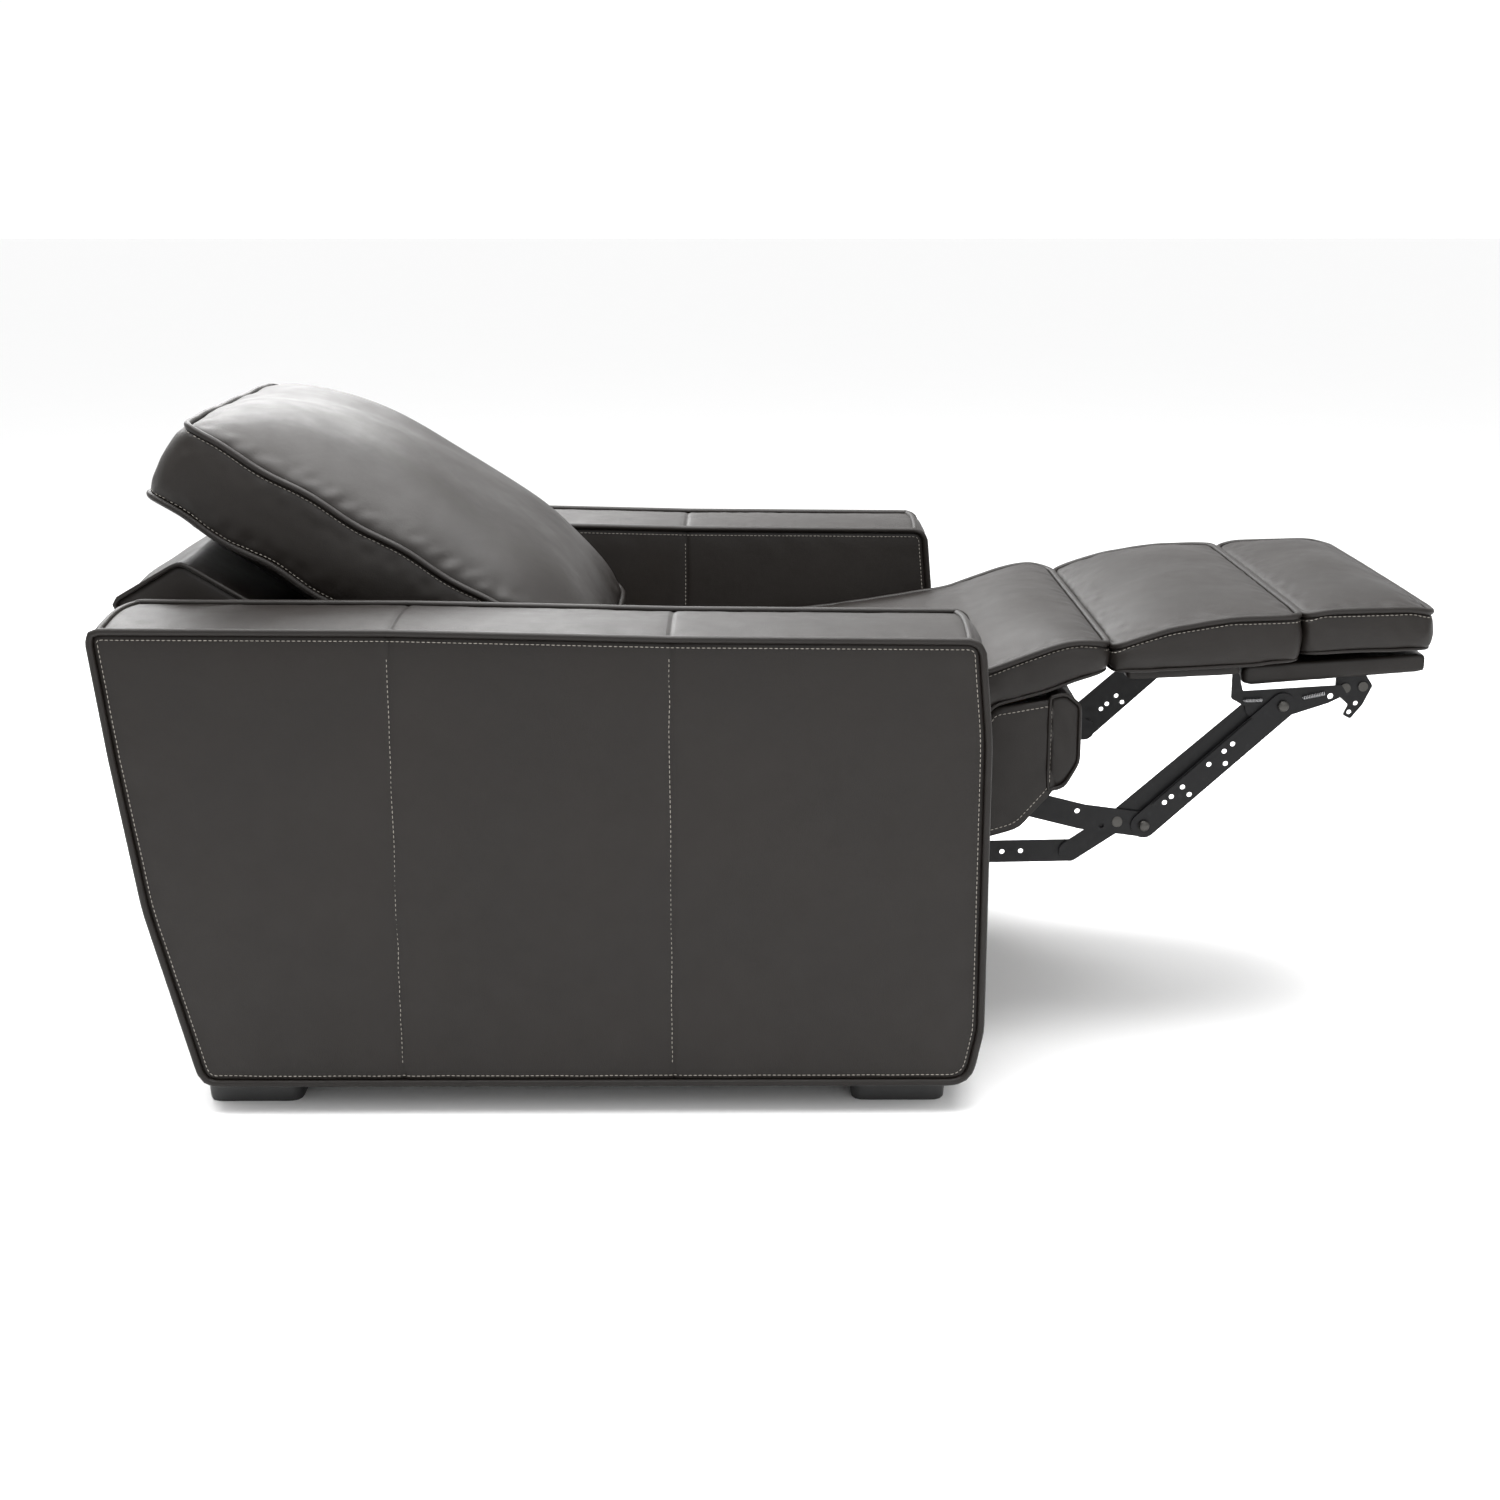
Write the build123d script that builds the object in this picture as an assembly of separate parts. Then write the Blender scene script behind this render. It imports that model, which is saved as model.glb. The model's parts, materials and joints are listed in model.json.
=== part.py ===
"""Power recliner armchair, shown fully reclined with its chaise footrest out.

Millimetres. +Z is up, the chair faces -Y, and +X is the sitter's left. Side outlines are drawn
as (forward, up) points: forward is measured from the rear of the arm tops, up from the floor.
"""
from build123d import *
from math import atan2, cos, degrees, hypot, radians, sin
import os

# Overall size and stance.
WIDTH = 1060.0
ARM_WIDTH = 190.0
FOOT_HEIGHT = 41.0
REAR_Y = 831.4              # world Y of the rear of the arm tops, which centres the box on Y
OPENING = WIDTH / 2 - ARM_WIDTH      # inner face of an arm, from the middle

# Arms.
ARM_REAR_TOP = (6, 616)
ARM_FRONT_TOP = (1074, 602)
ARM_WALL = 11.0
ARM_TIMBER = 40.0
ARM_MEMBER = 70.0           # depth of the timber members round the frame's window
ARM_EDGE_R = 7.0

# Feet, cross tubes and slide tracks.
FOOT_SPANS = ((106, 224), (924, 1042))
FOOT_INNER = 400.0
FOOT_OUTER = 492.0
FOOT_R = 14.0
TUBE_PLACES = (("front", 925), ("rear", 300))
TUBE_WIDTH = 40.0
TUBE_BOTTOM = 44.0
TUBE_TOP = 76.0
TUBE_WALL = 2.0
END_PLATE = 4.0             # thickness of the steel at each end of a tube, and of the tracks
TRACK_INNER = 326.0
TRACK_BOTTOM = 240.0
TRACK_TOP = 285.0

# Switch on the sitter's right arm.
BUTTON_CENTRES = (820, 856)
BUTTON_UP = 556.0
BUTTON_R = 10.0
SWITCH_PLATE = 3.0

# Reclined back: its upper front edge, its lean above the horizontal, and its hinge.
BACK_EDGE = (62, 661)
BACK_LEAN = 31.0
BACK_HINGE = (555, 345)
BACK_HALF = 300.0
BACK_TURN = 40.0            # from reclined to upright
SEAT_TRAVEL = 160.0         # the seat runs back this far as the back comes upright

# Seat and footrest.
SEAT_HALF = 322.0
BOX_HALF = 300.0
BOX_WALL = 16.0
PAD_HALF = 296.0
FOOT_PAD_HALF = 284.0
BOARD_HALF = 257.0
FOOT_HINGE = (1268, 526)
FOOT_TURN = 88.0            # from out to folded
EXTENSION_HINGE = (1450, 502)
EXTENSION_TURN = 15.0       # the foot pad tucks under by this much more

# Linkage pivots with the footrest out.
LINK_ROOT = (1090, 350)
KNEE = (1322, 301)
CROSS_PIN = (1287, 305)
TOE_PIN = (1499, 465)
DRIVE_PIN = (1225, 263)
CROSS_TOP_UP = 462.0        # height of the cross link's upper pivot
DRIVE_ROOT_UP = 290.0       # height of the drive link's rear pivot
DRIVE_BEND = (1112, 261)
LINK_WIDTH = 34.0
PLATE = 3.0
PIVOT_R = 5.0
RUNNING = 0.05              # radial clearance of a pin in its hole
RIVET_HEAD_R = 7.5
# Inner face of each plate layer, from the middle of the chair.
LAYER_SIDE = 276.0
LAYER_TOE = 271.0
LAYER_FRONT = 267.0
LAYER_CROSS = 263.0
LAYER_DRIVE = 259.0

# Actuators: crank radius and the way the crank ends travel.
CRANK = 70.0
BACK_CRANK = 80.0
BLOCK_REACH = 120.0
BACK_BLOCK_REACH = 100.0
BLOCK_HALF = 22.0
BLOCK_PLAY = 0.4            # clearance of a block round its rail
FOOTREST_RAIL = (770, 1046, 330, 346, -56, -38)
FOOTREST_MOTOR = (682, 770, 318, 366, -80, -14)
RECLINE_RAIL = (600, 880, 284, 300, 46, 64)
RECLINE_MOTOR = (882, 990, 268, 316, 22, 88)
MOTOR_R = 8.0
HANGERS = ((742, 768), (950, 978))   # where the motor hangers and their cross bars lie
BOX_TOP = 402.0             # top of the seat box's rails
BAR_DEPTH = 5.0             # depth of the cross bars


def turned(point, centre, angle):
    """The point turned about a centre, in degrees, from forward towards up."""
    du, dz = point[0] - centre[0], point[1] - centre[1]
    c, s = cos(radians(angle)), sin(radians(angle))
    return (centre[0] + du * c - dz * s, centre[1] + du * s + dz * c)


def heading(start, end):
    return degrees(atan2(end[1] - start[1], end[0] - start[0]))


def reach(start, end):
    return hypot(end[0] - start[0], end[1] - start[1])


def lower_rear_meet(a, ra, b, rb):
    """Where two circles meet, taking the meeting that is lower and further to the rear."""
    gap = reach(a, b)
    along = (ra ** 2 - rb ** 2 + gap ** 2) / (2 * gap)
    off = (ra ** 2 - along ** 2) ** 0.5
    fu, fz = (b[0] - a[0]) / gap, (b[1] - a[1]) / gap
    return (a[0] + along * fu + off * fz, a[1] + along * fz - off * fu)


def cross_top():
    """Upper pivot of the cross link, placed so that it also meets with the footrest folded."""
    low, high = 1380.0, 1520.0
    pin_folded = turned(CROSS_PIN, LINK_ROOT, link_turns()["front_links"])
    for _ in range(60):
        mid = (low + high) / 2
        top = (mid, CROSS_TOP_UP)
        short = reach(CROSS_PIN, top) - reach(pin_folded, turned(top, FOOT_HINGE, -FOOT_TURN))
        low, high = (mid, high) if short < 0 else (low, mid)
    return ((low + high) / 2, CROSS_TOP_UP)


def link_turns():
    """How far the front and toe links turn in the seat's frame as the footrest folds."""
    toe_folded = turned(TOE_PIN, FOOT_HINGE, -FOOT_TURN)
    knee_folded = lower_rear_meet(LINK_ROOT, reach(LINK_ROOT, KNEE),
                                  toe_folded, reach(KNEE, TOE_PIN))
    return {"front_links": heading(LINK_ROOT, knee_folded) - heading(LINK_ROOT, KNEE),
            "toe_links": heading(knee_folded, toe_folded) - heading(KNEE, TOE_PIN)}


CROSS_TOP = cross_top()


def cross_turn():
    pin_folded = turned(CROSS_PIN, LINK_ROOT, link_turns()["front_links"])
    top_folded = turned(CROSS_TOP, FOOT_HINGE, -FOOT_TURN)
    return heading(pin_folded, top_folded) - heading(CROSS_PIN, CROSS_TOP)


def crank_start():
    """How far below forward the drive crank points, so that it swings evenly about straight down."""
    return 90 + link_turns()["front_links"] / 2


def drive_folded():
    """Where the drive link's front pin lies with the footrest folded."""
    pin_folded = turned(CROSS_PIN, LINK_ROOT, link_turns()["front_links"])
    shift = (pin_folded[0] - CROSS_PIN[0], pin_folded[1] - CROSS_PIN[1])
    moved = (DRIVE_PIN[0] + shift[0], DRIVE_PIN[1] + shift[1])
    return turned(moved, pin_folded, cross_turn())


def drive_root():
    """Rear pivot of the drive link: as far from its front pin folded as it is now."""
    a, b = DRIVE_PIN, drive_folded()
    mid = ((a[0] + b[0]) / 2, (a[1] + b[1]) / 2)
    slope = -(b[0] - a[0]) / (b[1] - a[1])
    return (mid[0] + (DRIVE_ROOT_UP - mid[1]) / slope, DRIVE_ROOT_UP)


DRIVE_ROOT = drive_root()


def back_point(along, out):
    """A point on the back: along it towards its top, and out of its front face."""
    lean = radians(BACK_LEAN)
    return (BACK_EDGE[0] - along * cos(lean) + out * sin(lean),
            BACK_EDGE[1] + along * sin(lean) + out * cos(lean))


def back_crank_end():
    """Where the back's crank meets its push rod, so that it swings evenly about straight down."""
    return turned((BACK_HINGE[0] + BACK_CRANK, BACK_HINGE[1]), BACK_HINGE, -90 + BACK_TURN / 2)


def side_plane(x):
    return Plane(origin=(x, REAR_Y, 0), x_dir=(0, -1, 0), z_dir=(-1, 0, 0))


def slab(outline, x_low, x_high):
    """A side outline made solid between two distances to the sitter's left."""
    return extrude(side_plane(x_high) * outline, amount=x_high - x_low)


def both_sides(outline, inner, outer):
    return [slab(outline, inner, outer), slab(outline, -outer, -inner)]


def poly(*points):
    return make_face(Polyline(*points, close=True))


def rounded(outline, radius):
    return fillet(outline.vertices(), radius)


def bar(start, end, width):
    middle = Pos((start[0] + end[0]) / 2, (start[1] + end[1]) / 2)
    return middle * SlotCenterToCenter(reach(start, end), width, rotation=heading(start, end))


def disc(centre, radius):
    return Pos(*centre) * Circle(radius)


def pins(centre, inner, outer, radius):
    """A pin on each side of the chair, lying across it."""
    return both_sides(disc(centre, radius), inner, outer)


def rod(centre, x_low, x_high, radius, wall=0):
    ring = disc(centre, radius)
    if wall:
        ring -= disc(centre, radius - wall)
    return slab(ring, x_low, x_high)


def block(u0, u1, z0, z1, x0, x1, radius=0):
    """A box between two forward, two up and two sideways distances."""
    solid = Pos((x0 + x1) / 2, REAR_Y - (u0 + u1) / 2, (z0 + z1) / 2) * Box(x1 - x0, u1 - u0, z1 - z0)
    return fillet(solid.edges(), radius) if radius else solid


def mirrored_block(u0, u1, z0, z1, x0, x1, radius=0):
    return [block(u0, u1, z0, z1, x0, x1, radius), block(u0, u1, z0, z1, -x1, -x0, radius)]


def save(name, *solids):
    flat = [piece for item in solids for piece in (item if isinstance(item, list) else [item])]
    shape = flat[0] if len(flat) == 1 else Compound(children=flat)
    export_step(shape, f"parts/{name}.step")


# ---- arms and base ---------------------------------------------------------------------------

def arm_outline():
    """Outer face of an arm: a sloping top, a raked rear edge and rounded lower corners."""
    shape = poly(ARM_REAR_TOP, ARM_FRONT_TOP, (1080, 500), (1080, 41), (100, 41), (45, 320))
    low_front = shape.vertices().sort_by(Axis.X)[-2:].sort_by(Axis.Y)[0]
    shape = fillet(low_front, 45)
    low_rear = shape.vertices().sort_by(Axis.Y)[:2].sort_by(Axis.X)[0]
    return fillet(low_rear, 20)


def arms():
    outer = arm_outline()
    inner = offset(outer, -ARM_WALL)
    window = offset(outer, -ARM_WALL - ARM_MEMBER)
    for name, sign in (("right", -1), ("left", 1)):
        low, high = sorted((sign * OPENING, sign * WIDTH / 2))
        cover = slab(outer, low, high)
        cover = fillet(cover.edges().filter_by(lambda e: e.length > 60), ARM_EDGE_R)
        cover -= slab(inner, low + ARM_WALL, high - ARM_WALL)
        save(f"arm_cover_{name}", cover)
        middle = sign * (OPENING + ARM_WIDTH / 2)
        save(f"arm_frame_{name}", slab(inner - window, middle - ARM_TIMBER / 2, middle + ARM_TIMBER / 2))


def feet():
    solids = []
    for u0, u1 in FOOT_SPANS:
        for solid in mirrored_block(u0, u1, 0, FOOT_HEIGHT, FOOT_INNER, FOOT_OUTER):
            solids.append(fillet(solid.edges().filter_by(Axis.Z), FOOT_R))
    save("feet", solids)


def base_frame():
    """Cross tubes and slide tracks that tie the two arms together."""
    half, end = TUBE_WIDTH / 2, OPENING - END_PLATE
    for name, u in TUBE_PLACES:
        tube = block(u - half, u + half, TUBE_BOTTOM, TUBE_TOP, -end, end)
        tube -= block(u - half + TUBE_WALL, u + half - TUBE_WALL, TUBE_BOTTOM + TUBE_WALL,
                      TUBE_TOP - TUBE_WALL, -end, end)
        save(f"base_tube_{name}", tube)
        save(f"base_end_plates_{name}", mirrored_block(u - 45, u + 45, 42, 98, end, OPENING))
        bolts = []
        for du in (-33, 33):
            bolts += pins((u + du, 70), end - 5, end, 8)
        save(f"base_bolts_{name}", bolts)
    save("rear_stretcher", block(70, 90, 100, 200, -OPENING, OPENING))
    web = poly((160, TRACK_BOTTOM), (1040, TRACK_BOTTOM), (1040, TRACK_TOP), (160, TRACK_TOP))
    flange_top = TRACK_BOTTOM + END_PLATE
    flange = poly((160, TRACK_BOTTOM), (1040, TRACK_BOTTOM), (1040, flange_top), (160, flange_top))
    webs = both_sides(web, TRACK_INNER, TRACK_INNER + END_PLATE)
    flanges = both_sides(flange, TRACK_INNER + END_PLATE, OPENING)
    save("slide_tracks", [a + b for a, b in zip(webs, flanges)])


def switch():
    """Two-button switch on the inner face of the sitter's right arm."""
    inner = -OPENING
    plate = block(800, 876, BUTTON_UP - 16, BUTTON_UP + 16, inner, inner + SWITCH_PLATE)
    plate = fillet(plate.edges().filter_by(Axis.X), 8)
    for u in BUTTON_CENTRES:
        plate -= rod((u, BUTTON_UP), inner, inner + SWITCH_PLATE, BUTTON_R + 0.5)
    save("switch_plate", plate)
    for name, u in zip(("recline", "footrest"), BUTTON_CENTRES):
        button = rod((u, BUTTON_UP), inner + 2.2, inner + 6.5, BUTTON_R)
        button = fillet(button.edges().sort_by(Axis.X)[-1], 1.5)
        save(f"button_{name}", button)


def power_inlet():
    body = block(262, 280, 48, 72, 190, 226)
    body -= block(262, 272, 52, 68, 194, 222)
    save("power_inlet", body)


# ---- seat carriage ---------------------------------------------------------------------------

def seat_side_outline():
    return poly((646, 300), (1108, 292), (1146, 306), (1168, 328), (1186, 346), (1186, 482), (1106, 466),
                (1098, 402), (646, 402))


def seat_box():
    front = poly((1186.5, 357), (1208, 364), (1225, 396), (1225, 470), (1206, 486), (1186.5, 482))
    save("seat_front_rail", slab(rounded(front, 4), -BOX_HALF, BOX_HALF))
    save("seat_side_rails", both_sides(seat_side_outline(), BOX_HALF - BOX_WALL, BOX_HALF))
    save("seat_rear_rail", block(624, 646, 318, BOX_TOP, -LAYER_SIDE, LAYER_SIDE))
    inner = BOX_HALF - BOX_WALL
    save("seat_deck_rail", block(1150, 1186, BOX_TOP, BOX_TOP + 26, -inner, inner))


def seat_springs():
    """Sinuous springs running from the rear rail to the deck rail, under the cushion."""
    solids = []
    turns = 14
    start, end, up = 634.0, 1147.0, 404.5
    for x in (-200, -100, 0, 100, 200):
        step = (end - start) / turns
        points = [(x, REAR_Y - start, up)]
        for i in range(turns):
            side = 24 if i % 2 else -24
            points += [(x + side, REAR_Y - start - step * (i + 0.2), up),
                       (x + side, REAR_Y - start - step * (i + 0.8), up)]
        points.append((x, REAR_Y - end, up))
        path = FilletPolyline(*points, radius=8)
        ring = Plane(origin=path @ 0, z_dir=path % 0) * Circle(1.9)
        solids.append(sweep(ring, path=path))
    save("seat_springs", solids)


def seat_cushion():
    outline = poly((655, 410), (1092, 410), (1101, 474), (1101, 517), (1000, 503), (895, 488), (740, 473),
                   (655, 470))
    outline = rounded(outline, 8)
    save("seat_cushion", slab(outline, -SEAT_HALF, SEAT_HALF))
    knee = rounded(poly((1108, 474), (1186, 490), (1208, 496), (1246, 514), (1257, 528), (1256, 548),
                        (1226, 560), (1196, 555), (1140, 532), (1108, 519)), 5)
    save("knee_pad", slab(knee, -PAD_HALF - 3, PAD_HALF + 3))


def side_plates():
    """Steel plates of the mechanism, fixed inside the seat box, with the pivots they carry."""
    outline = poly((528, 326), (600, 326), (700, 312), (960, 306), (1010, 272), (1056, 272), (1072, 306),
                   (1112, 326), (1122, 350), (1108, 378), (600, 378), (528, 364))
    outline = rounded(outline, 10)
    for centre in (BACK_HINGE, LINK_ROOT, DRIVE_ROOT):
        outline -= disc(centre, PIVOT_R)
    save("seat_side_plates", both_sides(outline, LAYER_SIDE, LAYER_SIDE + PLATE))
    spacers = []
    for u, z in ((680, 345), (860, 345), (1040, 345)):
        spacers += pins((u, z), LAYER_SIDE + PLATE, BOX_HALF - BOX_WALL, 9)
    save("seat_plate_spacers", spacers)
    solids = []
    solids += pins(BACK_HINGE, LAYER_SIDE - 7, LAYER_SIDE + PLATE + 4, PIVOT_R)
    solids += pins(BACK_HINGE, LAYER_SIDE + PLATE, LAYER_SIDE + PLATE + 4, RIVET_HEAD_R)
    solids += pins(LINK_ROOT, LAYER_FRONT, LAYER_SIDE + PLATE + 4, PIVOT_R)
    solids += pins(LINK_ROOT, LAYER_FRONT + PLATE + 0.4, LAYER_SIDE, RIVET_HEAD_R)
    solids += pins(LINK_ROOT, LAYER_SIDE + PLATE, LAYER_SIDE + PLATE + 4, RIVET_HEAD_R)
    solids += pins(DRIVE_ROOT, LAYER_DRIVE, LAYER_SIDE + PLATE + 4, PIVOT_R)
    solids += pins(DRIVE_ROOT, LAYER_DRIVE + PLATE + 0.4, LAYER_SIDE, RIVET_HEAD_R)
    solids += pins(DRIVE_ROOT, LAYER_SIDE + PLATE, LAYER_SIDE + PLATE + 4, RIVET_HEAD_R)
    save("seat_pivot_pins", fused(solids))


def fused(solids):
    """The solids joined where they touch, as separate pieces on each side of the chair."""
    left = [s for s in solids if s.center().X > 0]
    right = [s for s in solids if s.center().X < 0]
    joined = []
    for group in (left, right):
        shape = group[0]
        for other in group[1:]:
            shape = shape + other
        joined += list(shape.solids())
    return joined


def carriage():
    """Nylon glides that ride on the slide tracks, and the tube between the side plates."""
    glides = []
    for u in (690, 1000):
        for sign in (-1, 1):
            x0, x1 = sorted((sign * BOX_HALF, sign * 336))
            s0, s1 = sorted((sign * 325.7, sign * 330.3))
            glide = block(u - 32, u + 32, 258, 332, x0, x1)
            glides.append(glide - block(u - 32, u + 32, 258, 285.4, s0, s1)
                          - block(u - 32, u + 32, 258, 262, min(s0, x1), max(s1, x0)))
    save("carriage_glides", glides)
    save("seat_cross_tube", rod((666, 345), -LAYER_SIDE, LAYER_SIDE, 12, 2))


def actuators():
    """Motors and rails, with the hangers and cross bars that carry them under the seat."""
    save("footrest_rail", block(*FOOTREST_RAIL))
    save("footrest_motor", block(*FOOTREST_MOTOR, MOTOR_R))
    save("recline_rail", block(*RECLINE_RAIL))
    save("recline_motor", block(*RECLINE_MOTOR, MOTOR_R))
    half = BOX_HALF - BOX_WALL
    hangers = []
    for (u0, u1), motor, rail in zip(HANGERS, (FOOTREST_MOTOR, RECLINE_MOTOR),
                                     (FOOTREST_RAIL, RECLINE_RAIL)):
        cross_bar = block(u0, u1, BOX_TOP - BAR_DEPTH, BOX_TOP, -half, half)
        hangers.append(cross_bar + block(u0, u1, motor[3], BOX_TOP, rail[4], rail[5]))
    save("motor_brackets", hangers)


def slide_block(rail, u, end, x0, x1):
    """A block round a rail, with a push rod between two sideways distances that ends at a crank."""
    body = block(u - BLOCK_HALF, u + BLOCK_HALF, rail[2] - 8, rail[3] + 8, rail[4] - 8, rail[5] + 8)
    body -= block(u - BLOCK_HALF, u + BLOCK_HALF, rail[2] - BLOCK_PLAY, rail[3] + BLOCK_PLAY,
                  rail[4] - BLOCK_PLAY, rail[5] + BLOCK_PLAY)
    post = block(u - 12, u + 12, end[1] - 8, rail[2] - 4, x0, x1)
    return body + post + slab(bar((u, end[1]), end, 16), x0, x1)


def slide_blocks():
    """Blocks that the actuators push along their rails, each with its push rod."""
    end = turned((LINK_ROOT[0] + CRANK, LINK_ROOT[1]), LINK_ROOT, -crank_start())
    save("footrest_slide_block", slide_block(FOOTREST_RAIL, end[0] - BLOCK_REACH, end, -36, -31))
    end = back_crank_end()
    save("recline_slide_block", slide_block(RECLINE_RAIL, end[0] + BACK_BLOCK_REACH, end, 67, 72))


# ---- back ------------------------------------------------------------------------------------

def back():
    outline = poly(back_point(0, 0), back_point(53, -96), back_point(-640, -96), back_point(-640, -78),
                   back_point(-500, -70), back_point(-500, 0))
    cover = slab(rounded(outline, 7), -BACK_HALF, BACK_HALF)
    hollow = poly(back_point(-14, -14), back_point(34, -82), back_point(-486, -82), back_point(-486, -14))
    cover -= slab(hollow, -BACK_HALF + 14, BACK_HALF - 14)
    save("back_cover", cover)
    window = poly(back_point(-90, 20), back_point(-90, -120), back_point(-420, -120), back_point(-420, 20))
    frame = slab(hollow, -BACK_HALF + 14, BACK_HALF - 14) - slab(window, -210, 210)
    save("back_frame", frame)
    face = Polyline(back_point(-500, 53), back_point(-500, 160))
    crown = ThreePointArc(back_point(-500, 160), back_point(-210, 212), back_point(78, 160))
    end = Polyline(back_point(78, 160), back_point(78, 53))
    rear = ThreePointArc(back_point(78, 53), back_point(-210, 6), back_point(-500, 53))
    cushion = slab(make_face(face + crown + end + rear), -BACK_HALF - 4, BACK_HALF + 4)
    save("back_cushion", fillet(cushion.edges().filter_by(lambda e: e.length > 300), 12))


def back_brackets():
    arm = poly(back_point(-500, -64), back_point(-500, -8), back_point(-575, 2), back_point(-605, -17),
               back_point(-575, -36))
    arm = rounded(arm, 4) + disc(BACK_HINGE, 20) - disc(BACK_HINGE, PIVOT_R + RUNNING)
    inner = LAYER_SIDE - 5
    plates = both_sides(arm, inner, inner + 4)
    flange = poly(back_point(-500, -64), back_point(-500, -8), back_point(-504, -8), back_point(-504, -64))
    flanges = both_sides(flange, inner - 40, inner)
    save("back_brackets", [p + f for p, f in zip(plates, flanges)])
    tube_centre = back_point(-530, -30)
    crank_end = back_crank_end()
    save("back_torque_tube", rod(tube_centre, -inner, inner, 11, 2))
    crank = bar(tube_centre, crank_end, 18) - disc(tube_centre, 11) - disc(crank_end, PIVOT_R)
    save("back_crank", slab(crank, 75, 80))


# ---- footrest and its linkage ----------------------------------------------------------------

def footrest():
    pad = rounded(poly((1283, 514), (1440, 523), (1508, 532), (1508, 586), (1417, 583), (1340, 568),
                       (1287, 546)), 6)
    save("calf_pad", slab(pad, -PAD_HALF, PAD_HALF))
    board = poly((1290, 501), (1438, 508), (1438, 520), (1290, 513))
    save("footrest_board", slab(board, -PAD_HALF + 20, PAD_HALF - 20))
    arm = poly((1431, 507.6), (1440, 508), (1446, 484), (1576, 492), (1584, 480), (1560, 468), (1500, 448),
               (1470, 452), (1431, 474))
    arm = rounded(arm, 3) + disc(TOE_PIN, 18) + disc(CROSS_TOP, 14)
    arm -= disc(TOE_PIN, PIVOT_R + RUNNING)
    arm -= disc((1562, 477), 4)
    save("footrest_brackets", both_sides(arm, LAYER_FRONT, LAYER_FRONT + PLATE))
    coils = []
    hooks = []
    outer = LAYER_FRONT + PLATE
    for start, end in (((1524, 476), (1552, 482)), ((1446, 472), (1470, 473))):
        coils += both_sides(bar(start, end, 6), outer + 1, outer + 7)
        hooks += pins(start, outer, outer + 1, 2) + pins(end, outer, outer + 1, 2)
    save("footrest_springs", fused(coils + hooks))


def extension():
    board = rounded(poly((1446, 489), (1685, 508), (1685, 532), (1446, 516)), 9)
    save("extension_board", slab(board, -BOARD_HALF, BOARD_HALF))
    pad = rounded(poly((1522, 535), (1678, 542), (1689, 556), (1686, 590), (1674, 597), (1540, 593),
                       (1522, 586)), 5)
    save("foot_pad", slab(pad, -FOOT_PAD_HALF, FOOT_PAD_HALF))
    plate = poly((1572, 498.9), (1612, 502.0), (1621, 488), (1609, 462), (1594, 443), (1584, 448),
                 (1590, 462), (1572, 478))
    plate = rounded(plate, 2.5)
    for centre in ((1600, 464), (1592, 452)):
        plate -= disc(centre, 3.2)
    outer = BOARD_HALF - 2
    save("extension_brackets", both_sides(plate, outer - PLATE, outer))
    rivets = []
    for centre in ((1585, 485), (1608, 487)):
        rivets += pins(centre, outer, outer + 2.5, RIVET_HEAD_R - 1)
    save("extension_rivets", rivets)


def link_holes(start, end, places, radius):
    """Holes along a link, each given as a share of its length and a step to its left."""
    du, dz = (end[0] - start[0]) / reach(start, end), (end[1] - start[1]) / reach(start, end)
    holes = []
    for share, left in places:
        along = share * reach(start, end)
        holes.append(disc((start[0] + along * du - left * dz, start[1] + along * dz + left * du), radius))
    return holes


def front_links():
    elbow = (1240, 312)
    link = bar(LINK_ROOT, elbow, LINK_WIDTH) + bar(elbow, KNEE, LINK_WIDTH)
    link -= disc(LINK_ROOT, PIVOT_R + RUNNING)
    link -= disc(CROSS_PIN, PIVOT_R + RUNNING)
    for centre in ((1233, 320), (1266, 300)):
        link -= disc(centre, 3.5)
    save("front_links", both_sides(link, LAYER_FRONT, LAYER_FRONT + PLATE))
    save("drive_tube", rod(LINK_ROOT, -LAYER_FRONT, LAYER_FRONT, 12, 2))
    crank_end = turned((LINK_ROOT[0] + CRANK, LINK_ROOT[1]), LINK_ROOT, -crank_start())
    crank = bar(LINK_ROOT, crank_end, 22) - disc(LINK_ROOT, 12) - disc(crank_end, PIVOT_R)
    save("drive_crank", slab(crank, -29, -23))


def toe_links():
    link = bar(KNEE, TOE_PIN, LINK_WIDTH)
    shares = ((0.17, 5), (0.22, 5), (0.30, 5), (0.49, 5), (0.60, 5), (0.66, 5), (0.30, -9), (0.56, -9))
    for hole in link_holes(KNEE, TOE_PIN, shares, 3.5):
        link -= hole
    save("toe_links", both_sides(link, LAYER_TOE, LAYER_TOE + PLATE))
    rib_places = link_holes(KNEE, TOE_PIN, ((0.12, 13), (0.82, 13)), 1)
    ends = [(h.center().X, h.center().Y) for h in rib_places]
    save("toe_link_ribs", both_sides(bar(ends[0], ends[1], 5), LAYER_TOE + PLATE, LAYER_TOE + PLATE + 2.2))
    heads = pins(KNEE, LAYER_TOE + PLATE, LAYER_TOE + PLATE + 3, RIVET_HEAD_R)
    heads += pins(TOE_PIN, LAYER_TOE + PLATE, LAYER_TOE + PLATE + 3, RIVET_HEAD_R)
    heads += pins(TOE_PIN, LAYER_FRONT, LAYER_TOE, PIVOT_R)
    save("toe_link_rivets", heads)


def cross_links():
    link = bar(DRIVE_PIN, CROSS_PIN, 28) + bar(CROSS_PIN, CROSS_TOP, 28)
    save("cross_links", both_sides(link, LAYER_CROSS, LAYER_CROSS + PLATE))
    heads = pins(CROSS_PIN, LAYER_CROSS + PLATE, LAYER_FRONT + PLATE, PIVOT_R)
    save("cross_link_pins", heads)


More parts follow.
